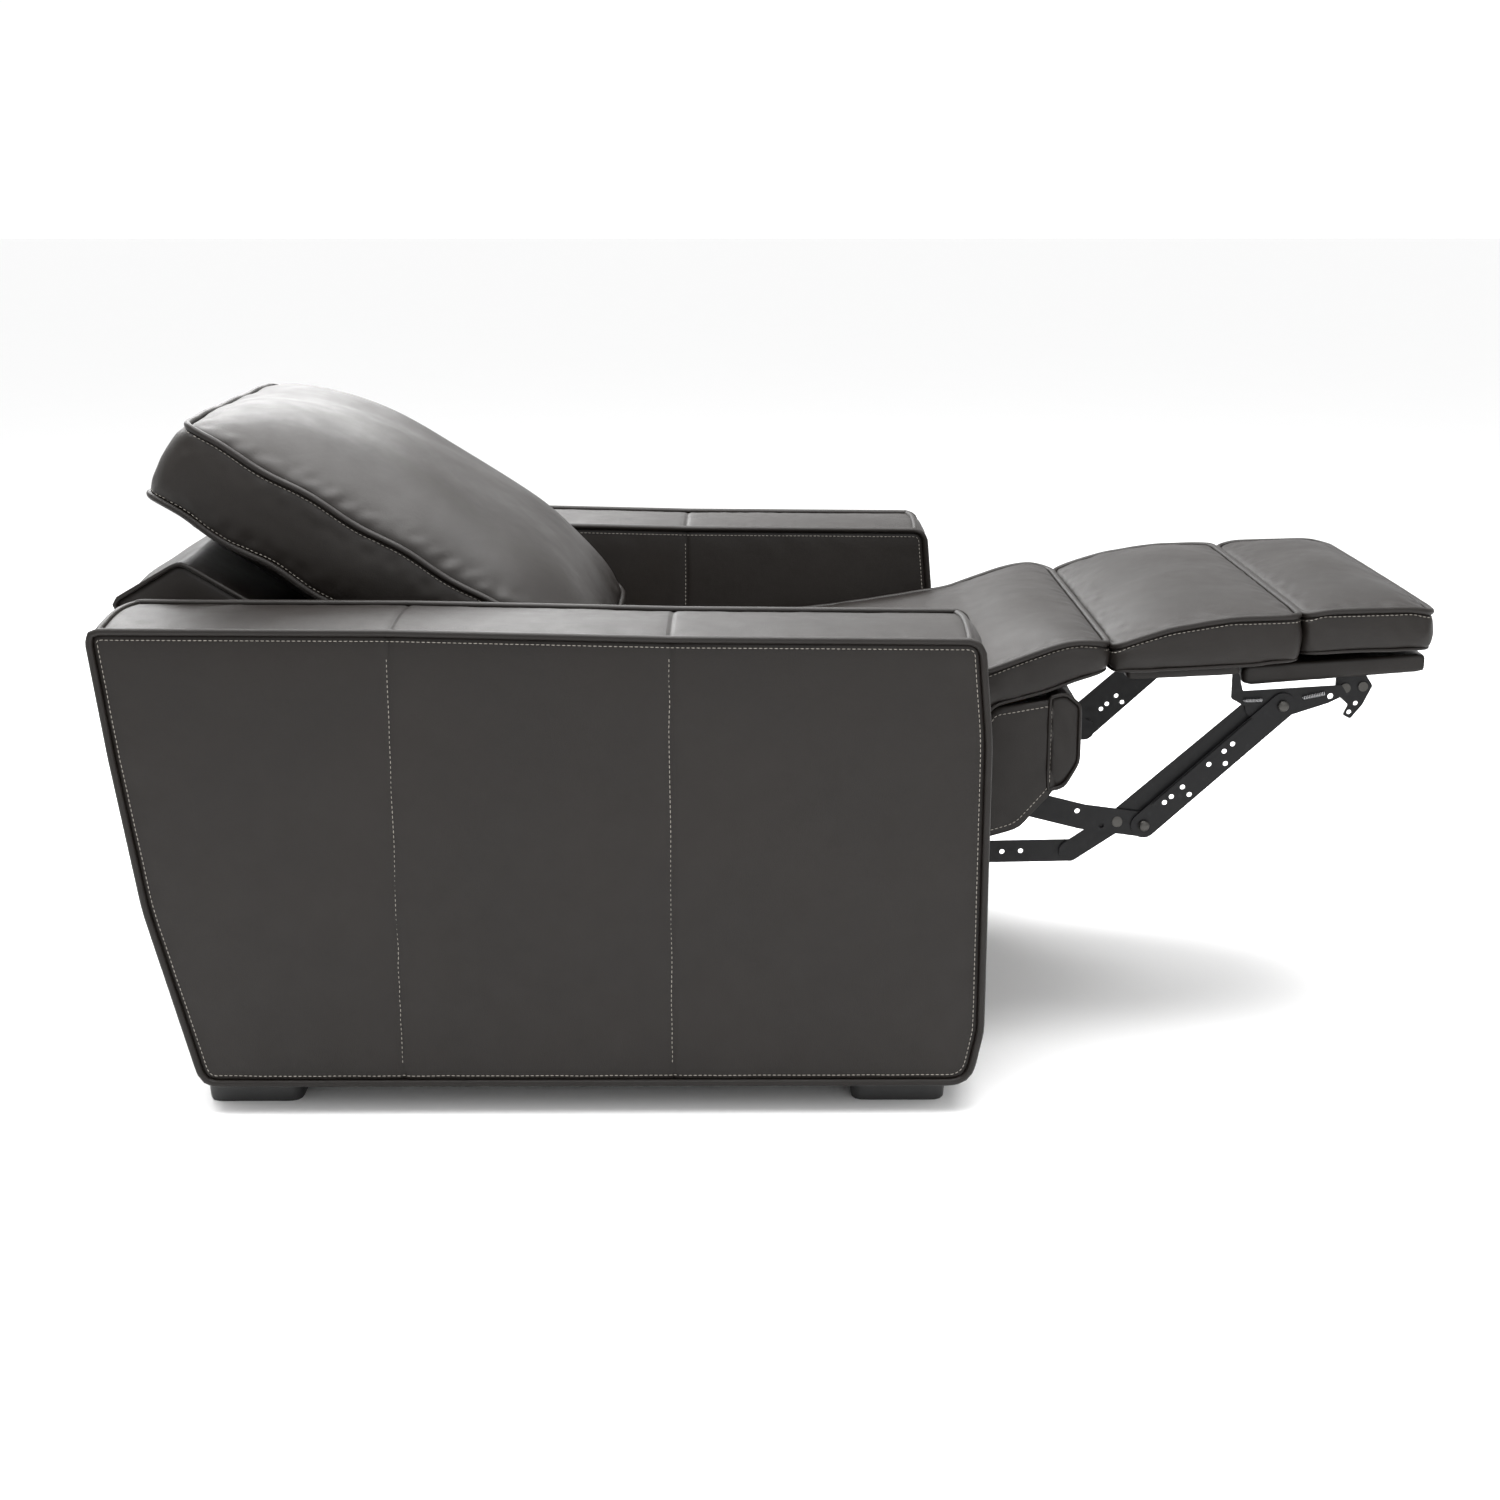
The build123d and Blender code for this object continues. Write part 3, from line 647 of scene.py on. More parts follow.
def noise(tree, place, scale, detail=4.0, roughness=0.55):
    node = tree.nodes.new("ShaderNodeTexNoise")
    node.inputs["Scale"].default_value = scale
    node.inputs["Detail"].default_value = detail
    node.inputs["Roughness"].default_value = roughness
    tree.links.new(place, node.inputs["Vector"])
    return node.outputs["Fac"]


def cells(tree, place, scale):
    """How far each place is from the edge of its cell."""
    node = tree.nodes.new("ShaderNodeTexVoronoi")
    node.feature = "DISTANCE_TO_EDGE"
    node.inputs["Scale"].default_value = scale
    tree.links.new(place, node.inputs["Vector"])
    return node.outputs["Distance"]


def ranged(tree, value, low, high, out_low, out_high):
    node = tree.nodes.new("ShaderNodeMapRange")
    node.inputs["From Min"].default_value = low
    node.inputs["From Max"].default_value = high
    node.inputs["To Min"].default_value = out_low
    node.inputs["To Max"].default_value = out_high
    tree.links.new(value, node.inputs["Value"])
    return node.outputs[0]


def blend_colours(tree, share, first, second):
    node = tree.nodes.new("ShaderNodeMix")
    node.data_type = "RGBA"
    tree.links.new(share, node.inputs["Factor"])
    for socket, colour in ((node.inputs["A"], first), (node.inputs["B"], second)):
        if isinstance(colour, bpy.types.NodeSocket):
            tree.links.new(colour, socket)
        else:
            socket.default_value = (*colour, 1)
    return node.outputs["Result"]


def sum_of(tree, first, second, share):
    """The first value and a share of the second."""
    node = tree.nodes.new("ShaderNodeMath")
    node.operation = "MULTIPLY_ADD"
    node.inputs[1].default_value = share
    tree.links.new(second, node.inputs[0])
    tree.links.new(first, node.inputs[2])
    return node.outputs[0]


def bump(tree, shader, height, distance, strength):
    node = tree.nodes.new("ShaderNodeBump")
    node.inputs["Distance"].default_value = distance
    node.inputs["Strength"].default_value = strength
    tree.links.new(height, node.inputs["Height"])
    tree.links.new(node.outputs[0], shader.inputs["Normal"])


def scaled(colour, factor):
    return tuple(c * factor for c in colour)


def make_leather(name):
    """Soft pebbled hide: fine cells, faint creases, cloudy dye, darker and smoother at its seams; the darkening is
    partly burnish and partly painted shade, also in grooves and on welts.
    """
    style = bpy.context.scene.recliner_leather
    material, tree, shader, place = start_material(name)
    base = tuple(style.colour)
    cloud = noise(tree, place, 7, 3)
    dye = blend_colours(tree, ranged(tree, cloud, 0.35, 0.65, 0, 1), scaled(base, 0.94),
                        tuple(c * f for c, f in zip(base, (1.07, 1.05, 1.03))))
    near = tree.nodes.new("ShaderNodeAttribute")
    near.attribute_name = "seam_shade"
    # darker near seams, grooves and welts: partly burnished leather, partly painted shade
    seam_burnish_and_shade = blend_colours(tree, ranged(tree, near.outputs["Fac"], 0, 1.2, 0, 0.6), dye,
                         tuple(c * f for c, f in zip(base, (0.62, 0.57, 0.53))))
    tree.links.new(seam_burnish_and_shade, shader.inputs["Base Color"])
    patchy = noise(tree, place, 26, 5)
    tree.links.new(ranged(tree, patchy, 0.3, 0.7, style.roughness - 0.04, style.roughness + 0.05),
                   shader.inputs["Roughness"])
    pebbles = ranged(tree, cells(tree, place, 1 / style.grain), 0, 0.35, 0, 1)
    creases = noise(tree, place, 150, 6, 0.6)
    soft = noise(tree, place, 38, 3)
    height = sum_of(tree, sum_of(tree, pebbles, creases, 1.6), soft, 3.2)
    bump(tree, shader, height, 0.12 * MM, 0.8)
    shader.inputs["Specular IOR Level"].default_value = 0.27
    return material


def make_thread(name):
    material, tree, shader, place = start_material(name)
    tone = noise(tree, place, 900, 2)
    colour = tuple(bpy.context.scene.recliner_seams.thread)
    tree.links.new(blend_colours(tree, tone, scaled(colour, 0.75), scaled(colour, 1.2)),
                   shader.inputs["Base Color"])
    shader.inputs["Roughness"].default_value = 0.7
    return material


def make_coated_steel(name):
    """Black e-coat: slightly orange-peeled, with dust and faint rubbed patches."""
    material, tree, shader, place = start_material(name)
    coat = tuple(bpy.context.scene.recliner_steel.coat)
    rub = ranged(tree, noise(tree, place, 55, 6, 0.7), 0.58, 0.72, 0, 0.5)
    tree.links.new(blend_colours(tree, rub, coat, scaled(coat, 3.2)), shader.inputs["Base Color"])
    tree.links.new(ranged(tree, noise(tree, place, 120, 4), 0.3, 0.7, 0.34, 0.5),
                   shader.inputs["Roughness"])
    bump(tree, shader, noise(tree, place, 420, 3), 0.08 * MM, 0.5)
    shader.inputs["Specular IOR Level"].default_value = 0.18
    return material


def make_metal(name, colour, roughness, scratches=300):
    material, tree, shader, place = start_material(name)
    tone = noise(tree, place, scratches, 5, 0.7)
    tree.links.new(blend_colours(tree, tone, scaled(colour, 0.7), colour), shader.inputs["Base Color"])
    tree.links.new(ranged(tree, tone, 0.3, 0.7, roughness - 0.06, roughness + 0.08),
                   shader.inputs["Roughness"])
    shader.inputs["Metallic"].default_value = 1.0
    return material


def make_plastic(name, colour, roughness, texture=1400):
    material, tree, shader, place = start_material(name)
    tone = noise(tree, place, 30, 4)
    tree.links.new(blend_colours(tree, tone, scaled(colour, 0.8), scaled(colour, 1.25)),
                   shader.inputs["Base Color"])
    tree.links.new(ranged(tree, noise(tree, place, 90, 3), 0.3, 0.7, roughness - 0.05, roughness + 0.06),
                   shader.inputs["Roughness"])
    bump(tree, shader, noise(tree, place, texture, 2), 0.06 * MM, 0.6)
    return material


def make_timber(name):
    material, tree, shader, place = start_material(name)
    squash = tree.nodes.new("ShaderNodeMapping")
    squash.inputs["Scale"].default_value = (1, 9, 9)
    tree.links.new(place, squash.inputs["Vector"])
    rings = noise(tree, squash.outputs[0], 14, 6, 0.65)
    tree.links.new(blend_colours(tree, ranged(tree, rings, 0.35, 0.65, 0, 1), (0.5, 0.32, 0.17),
                                 (0.64, 0.46, 0.28)), shader.inputs["Base Color"])
    shader.inputs["Roughness"].default_value = 0.62
    bump(tree, shader, rings, 0.2 * MM, 0.5)
    return material


FINISH_MAKERS = {
    "leather": make_leather,
    "thread": make_thread,
    "frame_steel": make_coated_steel,
    "zinc": lambda name: make_metal(name, (0.07, 0.068, 0.064), 0.38),
    "spring_steel": lambda name: make_metal(name, (0.55, 0.55, 0.56), 0.3),
    "rail_aluminium": lambda name: make_metal(name, (0.6, 0.6, 0.62), 0.36, 120),
    "nylon": lambda name: make_plastic(name, (0.62, 0.6, 0.54), 0.5),
    "motor_plastic": lambda name: make_plastic(name, (0.02, 0.02, 0.022), 0.55, 900),
    "switch_plastic": lambda name: make_plastic(name, (0.016, 0.016, 0.017), 0.45),
    "button_plastic": lambda name: make_plastic(name, (0.05, 0.05, 0.053), 0.3),
    "foot_plastic": lambda name: make_plastic(name, (0.012, 0.012, 0.012), 0.5, 700),
    "timber": make_timber,
}


def dress(piece, body, nodes=(), bend=None, press=None):
    """Attaches a finished piece to its body and hides the solids it stands for; with a bend given it only bakes
    its place into its mesh, and with a press it gets its own mesh.
    """
    if bend:
        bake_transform(piece)
    else:
        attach(piece, body)
    if nodes:
        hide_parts(*nodes)
    if press:
        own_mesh(piece)


def cover(piece):
    piece.data.materials.clear()
    piece.data.materials.append(finish("leather"))


def trim(name, form, body, bend=None, shares_used=(0, 1), face_rows=(), band_rows=(), welt=None,
         out=1.2, plump=False, press=None):
    """Welts round a form's panel edges and stitches beside them.

    face_rows are the edges with a row on the flat panels, and band_rows those with one on the band.
    plump lays the welts onto a surface that the filling has moved."""
    inset = bpy.context.scene.recliner_seams.inset
    radius = welt or bpy.context.scene.recliner_seams.welt
    welts = [closed(form.line(share, out=out * MM)) for share in shares_used]
    if plump:
        welts = [settle(form.piece, line, radius * 0.8) for line in welts]
    rows = [form.line(share, out=-inset) for share in face_rows]
    rows += [form.line(share, shift=inset * (1 if share == 0 else -1)) for share in band_rows]
    rows = [on_surface(form.piece, closed(row), 0.2 * MM) for row in rows]
    if welts:
        dress(sew_welts(name + "_welts", welts, radius), body, bend=bend, press=press)
    if rows:
        dress(sew_stitches(name + "_stitches", rows), body, bend=bend, press=press)


# ---- pieces ------------------------------------------------------------------------------------

class RECLINER_OT_arms(bpy.types.Operator):
    """Padded leather arms, with welted edges and two sewn seams down each side"""
    bl_idname = "recliner.arms"
    bl_label = "Arms"

    seam_places = (361, 698)
    # side outline, from the bottom rear corner forward, and the radius of each corner
    corners = ((110, 42), (1066, 42), (1080, 110), (1081, 480), (1070, 603), (700, 606), (360, 614),
               (5, 616), (24, 460), (52, 270))
    radii = (20, 26, 60, 400, 16, 0, 0, 10, 300, 300)

    def execute(self, context):
        loop, middles = rounded_loop(self.corners, self.radii)
        patch = (middles[0], middles[1], middles[4], middles[7])
        length = self.corners[4][0] - self.corners[7][0]
        marks = [(seam - self.corners[7][0]) / length for seam in self.seam_places]
        top = shares(96, marks, 2.6 / length)
        low_start, low_end = self.corners[0][0], self.corners[1][0]
        forward = self.corners[7][0] + top * length
        kept = np.clip(forward, low_start, None)
        ease = np.clip((forward - 5) / 330, 0, 1)
        low = (1 - ease) * (low_start + (low_end - low_start) * top) + ease * kept
        low = np.maximum.accumulate((low - low_start) / (low_end - low_start))
        low = np.clip(low / low[-1], 0, 1) + np.linspace(0, 1e-6, len(low))
        for name, sign in SIDES:
            inner, outer = sorted((sign * HALF_OPENING, sign * HALF_WIDTH))
            crowns = (5 * MM, 3 * MM) if sign < 0 else (3 * MM, 5 * MM)
            form = Form(f"arm_leather_{name}", loop, patch, side_place, between(inner, outer), crowns,
                        bulge=7 * MM, across=top, up=52, levels=16, power=8, lower_across=low)
            tool_leather(form.piece, form.seams, pinch=1.5, pucker=0.5, swell=0.45, seed=3 + sign,
                         grooves=self.seam_places)
            if sign < 0:
                self.lie_flat_at_switch(form.piece)
            cover(form.piece)
            self.seams(form, name)
            trim(f"arm_{name}", form, "base", face_rows=(0, 1))
            self.cross_welts(form, name)
            dress(form.piece, "base", (f"arm_cover_{name}",))
        return {"FINISHED"}

    def lie_flat_at_switch(self, piece):
        """Presses the inner face flat under the switch plate and its buttons."""
        low, high = map(np.array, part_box("switch_plate"))
        points = get_points(piece)
        gap = np.maximum(np.maximum(low - points, points - high), 0)[:, 1:]
        inner = points[:, 0] > low[0] - 15 * MM
        share = np.clip(1 - (np.linalg.norm(gap, axis=1) / MM - 12) / 25, 0, 1) * inner
        points[:, 0] += np.minimum(low[0] - 0.6 * MM - points[:, 0], 0) * share
        set_points(piece, points)

    def seams(self, form, name):
        """Single topstitched seams down both faces and over the top of the arm."""
        rows = []
        faces = (form.ring_low.mean(), form.ring_high.mean())
        for forward in self.seam_places:
            for x in faces:
                down = [at(forward, up, x) for up in np.linspace(600, 52, 120)]
                rows.append(on_surface(form.piece, down, 0.1 * MM)[4:-4] + np.array((0, 1.6 * MM, 0)))
        dress(sew_stitches(f"arm_{name}_seam_stitches", rows), "base")

    def cross_welts(self, form, name):
        """Short welts over the arm's front and rear top corners."""
        lines = []
        width = np.linspace(form.ring_low.mean(), form.ring_high.mean(), 40)
        for forward, up in ((1063, 605), (14, 612)):
            row = [at(forward, up + 12, x) for x in width]
            lines.append(on_surface(form.piece, row, 0.5 * MM))
        dress(sew_welts(f"arm_{name}_cross_welts", lines), "base")


class RECLINER_OT_back_cushion(bpy.types.Operator):
    """Crowned box cushion of the back, with two wavy welts"""
    bl_idname = "recliner.back_cushion"
    bl_label = "Back cushion"

    half, low, high = 296, -535, 80
    rear, front = 51, 160
    corner = 34
    upright_share = 0.9     # of its length, where the seat presses it with the back upright

    def top_end(self):
        return back_place(*(np.array(v * MM) for v in (0, self.high, self.front)))

    def spine(self):
        """The way along the back, towards its top."""
        return unit(self.top_end() - back_place(*(np.array(v * MM) for v in (0, self.low, self.front))))

    def execute(self, context):
        corners = ((-self.half, self.low), (self.half, self.low), (self.half + 3, self.high),
                   (-self.half - 3, self.high))
        loop, middles = rounded_loop(corners, [self.corner] * 4)
        crown = context.scene.recliner_leather.back_crown

        def heights(p, q):
            middle, reach = (self.low + self.high) / 2, (self.high - self.low) / 2
            edge = np.maximum(np.abs(p) / (self.half * MM), np.abs(q - middle * MM) / (reach * MM)) ** 6
            wave = edge * (3.0 * MM * np.sin(q * 46) + 2.0 * MM * np.sin(p * 39 + 1))
            return np.full_like(p, self.rear * MM) + wave, np.full_like(p, self.front * MM) + wave * 0.7

        form = Form("back_cushion_leather", loop, middles, back_place, heights,
                    (38 * MM, crown), bulge=9 * MM, across=44, up=44, levels=10, power=3.8)
        inflate(form.piece, form.seams, 8 * MM, 26 * MM)
        tool_leather(form.piece, form.seams, pinch=3.0, pucker=0.8, swell=2.2, seed=21)
        cover(form.piece)
        press = ("seat_slide", self.spine(), self.top_end(), self.upright_share)
        trim("back_cushion", form, "back", band_rows=(0, 1), out=2.5, plump=True, press=press)
        dress(form.piece, "back", ("back_cushion",), press=press)
        return {"FINISHED"}


class RECLINER_OT_back_cover(bpy.types.Operator):
    """Leather-covered frame behind the back cushion"""
    bl_idname = "recliner.back_cover"
    bl_label = "Back cover"

    corners = ((-96, -640), (-80, -640), (-2, -500), (0, 0), (-96, 53))
    radii = (6, 6, 14, 14, 9)

    def execute(self, context):
        loop, middles = rounded_loop(self.corners, self.radii)
        patch = (middles[0], middles[2], middles[3], middles[4])
        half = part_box("back_cover")[1][0]
        form = Form("back_cover_leather", loop, patch, back_side_place, between(-half, half),
                    (2 * MM, 2 * MM), bulge=5 * MM, across=10, up=44, levels=44, power=6)
        tool_leather(form.piece, form.seams, pinch=1.2, pucker=0.9, swell=1.5, seed=31)
        cover(form.piece)
        trim("back_cover", form, "back", band_rows=(0, 1), welt=3.2 * MM)
        dress(form.piece, "back", ("back_cover",))
        return {"FINISHED"}


def profile(points):
    """Height along a pad, in metres, from (forward, up) points in millimetres."""
    forward, up = np.array(points, float).T * MM
    return lambda p: np.interp(p, forward, up)


def make_pad(name, ends, half_widths, top, bottom, crown, body, nodes, seed, bend=None,
             voxel=7 * MM, ceiling=None):
    """A pad drawn from above, with a sewn edge round its top.

    ends and half_widths are those of its rear and front, and ceiling is a height that it stays below."""
    (rear, front), (half_rear, half_front) = ends, half_widths
    corners = ((rear, -half_rear), (front, -half_front), (front, half_front), (rear, half_rear))
    loop, middles = rounded_loop(corners, [PAD_CORNER] * 4)
    top_at, bottom_at = profile(top), profile(bottom)

    def heights(p, q):
        return bottom_at(p), top_at(p)

    form = Form(name + "_leather", loop, middles, plan_place, heights, (1 * MM, crown * MM),
                bulge=PAD_BULGE, across=36, up=60, levels=6, power=3)
    inflate(form.piece, form.seams, voxel, PAD_TRAVEL)
    tool_leather(form.piece, form.seams[1:], pinch=2.2, pucker=0.6, swell=1.5, seed=seed)
    if ceiling:
        points = get_points(form.piece)
        points[:, 2] = np.minimum(points[:, 2], ceiling(REAR_Y - points[:, 1]))
        set_points(form.piece, points)
    cover(form.piece)
    trim(name, form, body, bend=bend, shares_used=(1,), band_rows=(1,), out=1.0, plump=True)
    trim(name + "_base", form, body, bend=bend, shares_used=(0,), welt=PAD_WELT_BELOW, out=0,
         plump=True)
    dress(form.piece, body, nodes, bend=bend)


class RECLINER_OT_seat(bpy.types.Operator):
    """Seat cushion, running forward over the knee"""
    bl_idname = "recliner.seat"
    bl_label = "Seat cushion"

    # underside of the back cushion with the back upright, which the seat stays below
    upright_cushion = ((640, 461), (740, 495), (860, 536), (1000, 600), (1262, 700))

    def execute(self, context):
        top = ((652, 460), (740, 473), (895, 488), (1000, 503), (1108, 521), (1140, 534), (1200, 556),
               (1235, 561), (1262, 552))
        bottom = ((652, 412), (1085, 414), (1106, 470), (1186, 488), (1212, 500), (1262, 516))
        make_pad("seat", (655, 1262), (318, 300), top, bottom, crown=17, body="seat",
                 nodes=("seat_cushion", "knee_pad"), seed=41, voxel=8 * MM,
                 ceiling=profile(self.upright_cushion))
        return {"FINISHED"}


class RECLINER_OT_footrest_pads(bpy.types.Operator):
    """Calf and foot pads of the chaise"""
    bl_idname = "recliner.footrest_pads"
    bl_label = "Footrest pads"

    def execute(self, context):
        knee = ("footrest", at(1264, 530), at(1330, 530))
        top = ((1266, 548), (1290, 558), (1340, 574), (1417, 587), (1512, 590))
        bottom = ((1266, 516), (1440, 522), (1512, 531))
        make_pad("calf", (1266, 1512), (298, 296), top, bottom, crown=17, body="seat",
                 nodes=("calf_pad",), seed=51, bend=knee)
        toe = ("extension", at(1514, 530), at(1566, 530))
        top = ((1516, 588), (1540, 595), (1660, 598), (1688, 592))
        bottom = ((1516, 533), (1688, 541))
        make_pad("foot", (1516, 1688), (286, 284), top, bottom, crown=14, body="footrest",
                 nodes=("foot_pad",), seed=61, bend=toe)
        return {"FINISHED"}


class RECLINER_OT_seat_box(bpy.types.Operator):
    """Leather-wrapped front and sides of the seat box"""
    bl_idname = "recliner.seat_box"
    bl_label = "Seat box"

    front_corners = ((1187, 357), (1208, 363), (1226, 396), (1226, 472), (1207, 487), (1187, 483))
    front_radii = (3, 14, 26, 13, 8, 3)
    side_corners = ((646, 300), (1108, 292), (1150, 304), (1190, 350), (1198, 362), (1198, 482), (1106, 466),
                    (1090, 402), (646, 402))
    side_radii = (4, 40, 40, 20, 8, 14, 20, 20, 4)

    def execute(self, context):
        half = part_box("seat_front_rail")[1][0]
        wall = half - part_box("seat_side_plates")[1][0] - 5 * MM
        loop, middles = rounded_loop(self.front_corners, self.front_radii)
        patch = (middles[0], middles[2], middles[3], middles[5])
        form = Form("seat_front_leather", loop, patch, side_place, between(-half, half),
                    (1 * MM, 1 * MM), bulge=3 * MM, across=8, up=10, levels=60, power=6)
        tool_leather(form.piece, form.seams, pinch=1, pucker=0.9, swell=1.4, seed=71)
        cover(form.piece)
        trim("seat_front", form, "seat", band_rows=(0, 1), welt=2.6 * MM, out=0.4)
        dress(form.piece, "seat", ("seat_front_rail",))
        loop, middles = rounded_loop(self.side_corners, self.side_radii)
        patch = (middles[0], middles[3], middles[5], middles[8])
        for name, sign in SIDES:
            low, high = sorted((sign * half, sign * (half - wall)))
            side = Form(f"seat_side_leather_{name}", loop, patch, side_place, between(low, high),
                        (1.5 * MM, 1.5 * MM), bulge=1 * MM, across=60, up=18, levels=4, power=6)
            tool_leather(side.piece, side.seams, pinch=0.4, pucker=0.7, swell=1.0, seed=75 + sign)
            cover(side.piece)
            share = 0 if sign < 0 else 1
            trim(f"seat_side_{name}", side, "seat", shares_used=(), face_rows=(share,))
            dress(side.piece, "seat", ("seat_side_rails",))
        return {"FINISHED"}


class RECLINER_OT_boards(bpy.types.Operator):
    """Leather-wrapped boards under the calf and foot pads"""
    bl_idname = "recliner.boards"
    bl_label = "Footrest boards"

    boards = (
        ("extension_board", "extension", ((1446, 489), (1686, 508), (1686, 531), (1446, 515)), (9, 5, 5, 11)),
        ("footrest_board", "footrest", ((1290, 501), (1438, 508), (1438, 520), (1290, 513)), (5, 5, 5, 5)),
    )

    def execute(self, context):
        for node, body, corners, radii in self.boards:
            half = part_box(node)[1][0]
            loop, middles = rounded_loop(corners, radii)
            form = Form(f"{node}_leather", loop, middles, side_place, between(-half, half),
                        (0.8 * MM, 0.8 * MM), bulge=1.2 * MM, across=24, up=5, levels=50, power=6)
            tool_leather(form.piece, form.seams, pinch=0.3, pucker=0.5, swell=0.6, seed=81)
            cover(form.piece)
            dress(form.piece, body, (node,))
        return {"FINISHED"}


class RECLINER_OT_apron(bpy.types.Operator):
    """Leather-wrapped rail between the arms at the rear"""
    bl_idname = "recliner.apron"
    bl_label = "Rear apron"

    def execute(self, context):
        low, high = (corner / MM for corner in map(np.array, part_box("rear_stretcher")))
        rear, front = REAR_Y / MM - high[1], REAR_Y / MM - low[1]
        corners = ((rear, low[2]), (front, low[2]), (front, high[2]), (rear, high[2]))
        loop, middles = rounded_loop(corners, [6] * 4)
        form = Form("rear_apron_leather", loop, middles, side_place,
                    between(low[0] * MM, high[0] * MM), (0, 0), bulge=1.5 * MM, across=5, up=16,
                    levels=60, power=6)
        tool_leather(form.piece, form.seams, pinch=0.3, pucker=0.5, swell=0.8, seed=91)
        cover(form.piece)
        dress(form.piece, "base", ("rear_stretcher",))
        return {"FINISHED"}


class RECLINER_OT_feet(bpy.types.Operator):
    """Moulded feet with softened corners and slightly bowed sides"""
    bl_idname = "recliner.feet"
    bl_label = "Feet"

    length, corner = 118, 16
    inner, outer = 400, 492     # from the chair's middle to a foot's two sides

    def execute(self, context):
        low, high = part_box("feet")
        half = self.length / 2
        centres = ((REAR_Y - high[1]) / MM + half, (REAR_Y - low[1]) / MM - half)
        for end, forward in zip(("rear", "front"), centres):
            for side, sign in SIDES:
                x0, x1 = sorted((sign * self.inner, sign * self.outer))
                corners = ((forward - half, x0), (forward + half, x0), (forward + half, x1),
                           (forward - half, x1))
                loop, middles = rounded_loop(corners, [self.corner] * 4)
                form = Form(f"foot_{end}_{side}", loop, middles, plan_place, between(0, high[2]), (0, 0),
                            bulge=1.5 * MM, across=12, up=10)
                form.piece.data.materials.append(finish("foot_plastic"))
                bevel = form.piece.modifiers.new("Bevel", "BEVEL")
                bevel.width, bevel.segments, bevel.angle_limit = 2.5 * MM, 3, math.radians(50)
                bake_modifiers(form.piece)
                dress(form.piece, "base", ("feet",))
        return {"FINISHED"}


class RECLINER_OT_rivets(bpy.types.Operator):
    """Domed rivet heads at the linkage's pivots"""
    bl_idname = "recliner.rivets"
    bl_label = "Rivets"

    half_link = 17 * MM         # half a toe link's width, which its knee pivot stands in from its ends
    stand_off = 3 * MM          # from a toe link's face out to the middle of its domes
    dome, flush = 3 * MM, 0.7 * MM      # heights, flush where the toe link folds past the front link

    def execute(self, context):
        steel = context.scene.recliner_steel
        low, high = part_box("toe_links")
        knee = (high[1] - self.half_link, low[2] + self.half_link)
        toe_face, front_face = high[0] + self.stand_off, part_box("front_links")[1][0]
        heads = {
            "toe_linkage": [(toe_face, knee), (toe_face, self.pivot("toe_link_swing"))],
            "front_linkage": [(front_face, self.pivot("cross_link_swing"))],
            "seat": [(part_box("seat_pivot_pins")[1][0], self.pivot(name)) for name in
                     ("back_recline", "front_link_swing", "drive_link_swing")],
        }
        for body, places in heads.items():
            points = [(sign * x, y, z) for x, (y, z) in places for sign in (-1, 1)]
            height = self.flush if body == "front_linkage" else self.dome
            piece = grow("rivets", f"{body}_rivet_heads", point_cloud(body, points), finish("zinc"),
                         Radius=steel.rivet, Height=height)
            dress(piece, body)
        return {"FINISHED"}

    def pivot(self, name):
        """Where a joint's axle lies, along the chair and up."""
        return tuple(JOINTS[name]["pos_m"][1:])


class RECLINER_OT_springs(bpy.types.Operator):
    """Small coil springs hooked to the footrest brackets"""
    bl_idname = "recliner.springs"
    bl_label = "Springs"

    ends = (((1524, 476), (1552, 482)), ((1446, 472), (1470, 473)))
    coil, wire = 2.6 * MM, 0.45 * MM    # radii
    inset = 3 * MM                      # from the springs' outermost point in to their middle

    def execute(self, context):
        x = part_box("footrest_springs")[1][0] - self.inset
        for number, (start, end) in enumerate(self.ends):
            for side, sign in SIDES:
                a, b = at(*start, sign * x), at(*end, sign * x)
                reach = float(np.linalg.norm(b - a))
                piece = grow("coil", f"footrest_spring_{number}_{side}", point_cloud("coil", [(0, 0, 0)]),
                             finish("spring_steel"), Radius=self.coil, Length=reach, Wire=self.wire)
                turn = Vector((0, 0, 1)).rotation_difference(Vector(b - a))
                piece.data.transform(turn.to_matrix().to_4x4())
                set_points(piece, get_points(piece) + a)
                dress(piece, "footrest", ("footrest_springs",))
        return {"FINISHED"}


class RECLINER_OT_finishes(bpy.types.Operator):
    """Finishes for the solid parts that show as they are"""
    bl_idname = "recliner.finishes"
    bl_label = "Solid parts"

    def execute(self, context):
        for part in frame["record"]["subparts"]:
            solid = frame["nodes"][part["node"]]
            material = finish(part["material_slot"])
            for index in range(len(solid.material_slots)):
                solid.material_slots[index].material = material
            if not solid.material_slots:
                solid.data.materials.append(material)
        return {"FINISHED"}


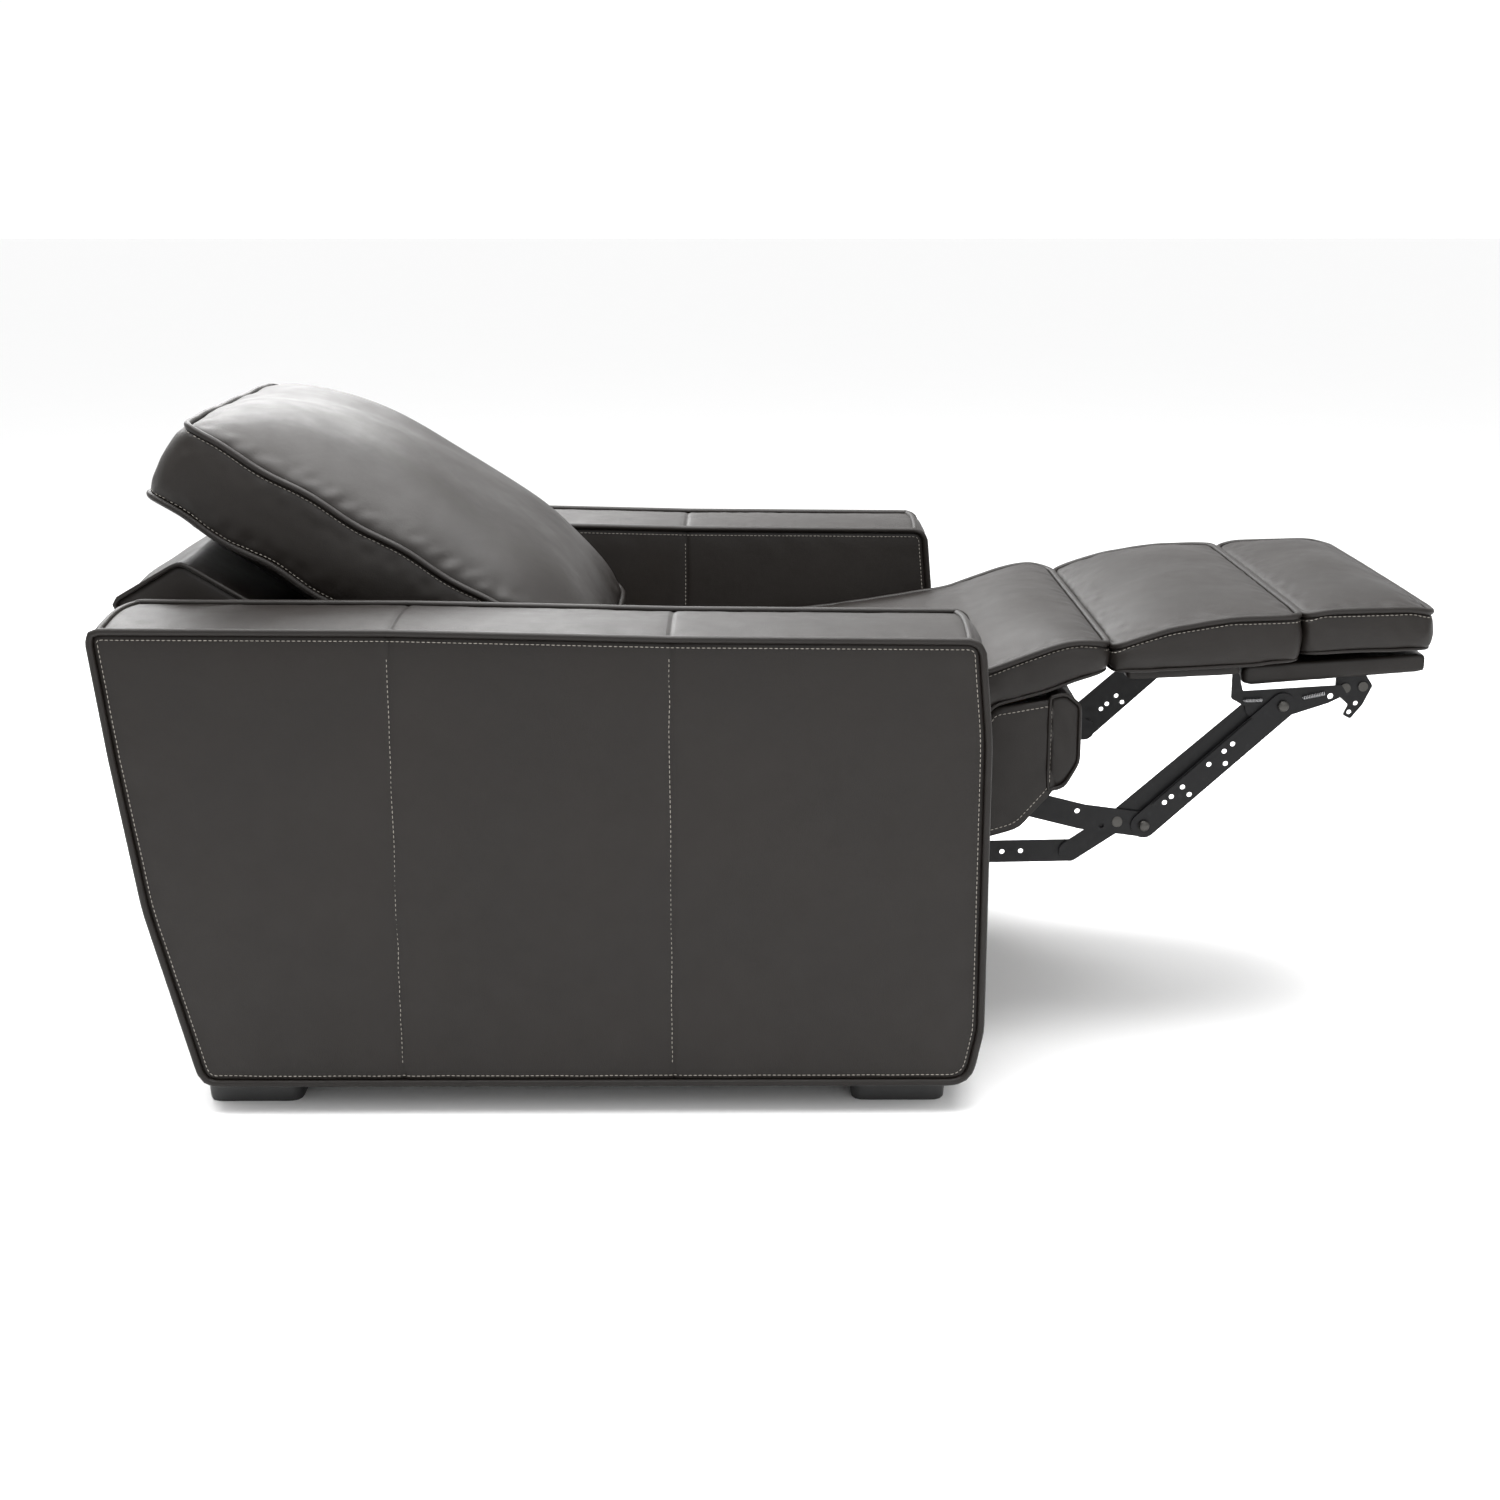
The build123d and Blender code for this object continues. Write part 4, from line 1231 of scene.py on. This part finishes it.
class RECLINER_OT_stage(bpy.types.Operator):
    """Pale floor, soft studio light and the camera"""
    bl_idname = "recliner.stage"
    bl_label = "Studio"

    lens, sensor = 54.17, 36.0
    camera_forward, camera_out, camera_up = 780.5, 2641, 1143.4
    pitch, yaw = 0.2493, 0.0049         # radians down, and towards the footrest
    far = 60
    floor_half = 40
    surround = 1.04                     # strength of the white light all round
    # name, place, what it points at, size, and share of the studio's power
    lamps = (("overhead", (0.1, 0.15, 3.1), (0, 0, 0.4), (3.4, 3.0), 1.0),
             ("fill", (-3.6, -1.2, 2.0), (0, 0, 0.4), (2.6, 2.2), 0.1),
             ("rear", (2.6, 1.4, 2.4), (0, 0, 0.5), (2.4, 2.0), 0.4))

    def execute(self, context):
        studio = context.scene.recliner_studio
        self.floor(studio)
        for name, where, target, size, share in self.lamps:
            self.light(name, where, target, size, studio.light * share)
        world = bpy.data.worlds.new("studio")
        world.use_nodes = True
        world.node_tree.nodes["Background"].inputs[0].default_value = (1, 1, 1, 1)
        world.node_tree.nodes["Background"].inputs[1].default_value = self.surround
        context.scene.world = world
        context.scene.view_settings.view_transform = "Standard"
        self.camera(context)
        return {"FINISHED"}

    def floor(self, studio):
        half = self.floor_half
        corners = [(-half, -half, 0), (half, -half, 0), (half, half, 0), (-half, half, 0)]
        piece = new_piece("floor", corners, [(0, 1, 2, 3)])
        material, tree, shader, place = start_material("floor")
        pale = (studio.floor,) * 3
        tree.links.new(blend_colours(tree, noise(tree, place, 3), scaled(pale, 0.99), pale),
                       shader.inputs["Base Color"])
        shader.inputs["Roughness"].default_value = 0.7
        piece.data.materials.append(material)

    def light(self, name, where, target, size, power):
        data = bpy.data.lights.new(name, "AREA")
        data.shape, data.size, data.size_y, data.energy = "RECTANGLE", size[0], size[1], power
        lamp = bpy.data.objects.new(name, data)
        lamp.location = where
        way = Vector(target) - Vector(where)
        lamp.rotation_euler = way.to_track_quat("-Z", "Y").to_euler()
        bpy.context.scene.collection.objects.link(lamp)

    def camera(self, context):
        data = bpy.data.cameras.new("camera")
        data.lens, data.sensor_width = self.lens, self.sensor
        data.clip_end = self.far
        eye = bpy.data.objects.new("camera", data)
        eye.location = at(self.camera_forward, self.camera_up, -HALF_WIDTH - self.camera_out * MM)
        level = math.cos(self.pitch)
        look = Vector((math.cos(self.yaw) * level, -math.sin(self.yaw) * level, -math.sin(self.pitch)))
        eye.rotation_euler = look.to_track_quat("-Z", "Y").to_euler()
        context.scene.collection.objects.link(eye)
        context.scene.camera = eye


class RECLINER_PT_panel(bpy.types.Panel):
    """The chair's settings and the pieces it is built from"""
    bl_idname = "RECLINER_PT_panel"
    bl_label = "Recliner"
    bl_space_type = "VIEW_3D"
    bl_region_type = "UI"
    bl_category = "Recliner"

    def draw(self, context):
        for group in SETTINGS:
            settings = getattr(context.scene, group)
            box = self.layout.box()
            for name in settings.__annotations__:
                box.prop(settings, name)
        for operator in PIECES:
            self.layout.operator(operator.bl_idname)


SETTINGS = {"recliner_leather": LeatherSettings, "recliner_seams": SeamSettings,
            "recliner_steel": SteelSettings, "recliner_studio": StudioSettings}
PIECES = (RECLINER_OT_finishes, RECLINER_OT_arms, RECLINER_OT_back_cover, RECLINER_OT_back_cushion,
          RECLINER_OT_seat, RECLINER_OT_footrest_pads, RECLINER_OT_seat_box, RECLINER_OT_boards,
          RECLINER_OT_apron, RECLINER_OT_feet, RECLINER_OT_rivets, RECLINER_OT_springs,
          RECLINER_OT_stage)


def register():
    for cls in (*SETTINGS.values(), *PIECES, RECLINER_PT_panel):
        bpy.utils.register_class(cls)
    for name, cls in SETTINGS.items():
        setattr(bpy.types.Scene, name, bpy.props.PointerProperty(type=cls))


def unregister():
    for name in SETTINGS:
        delattr(bpy.types.Scene, name)
    for cls in (RECLINER_PT_panel, *reversed(PIECES), *SETTINGS.values()):
        bpy.utils.unregister_class(cls)


def main():
    register()
    for piece in PIECES:
        group, action = piece.bl_idname.split(".")
        getattr(getattr(bpy.ops, group), action)()


if __name__ == "__main__":
    main()
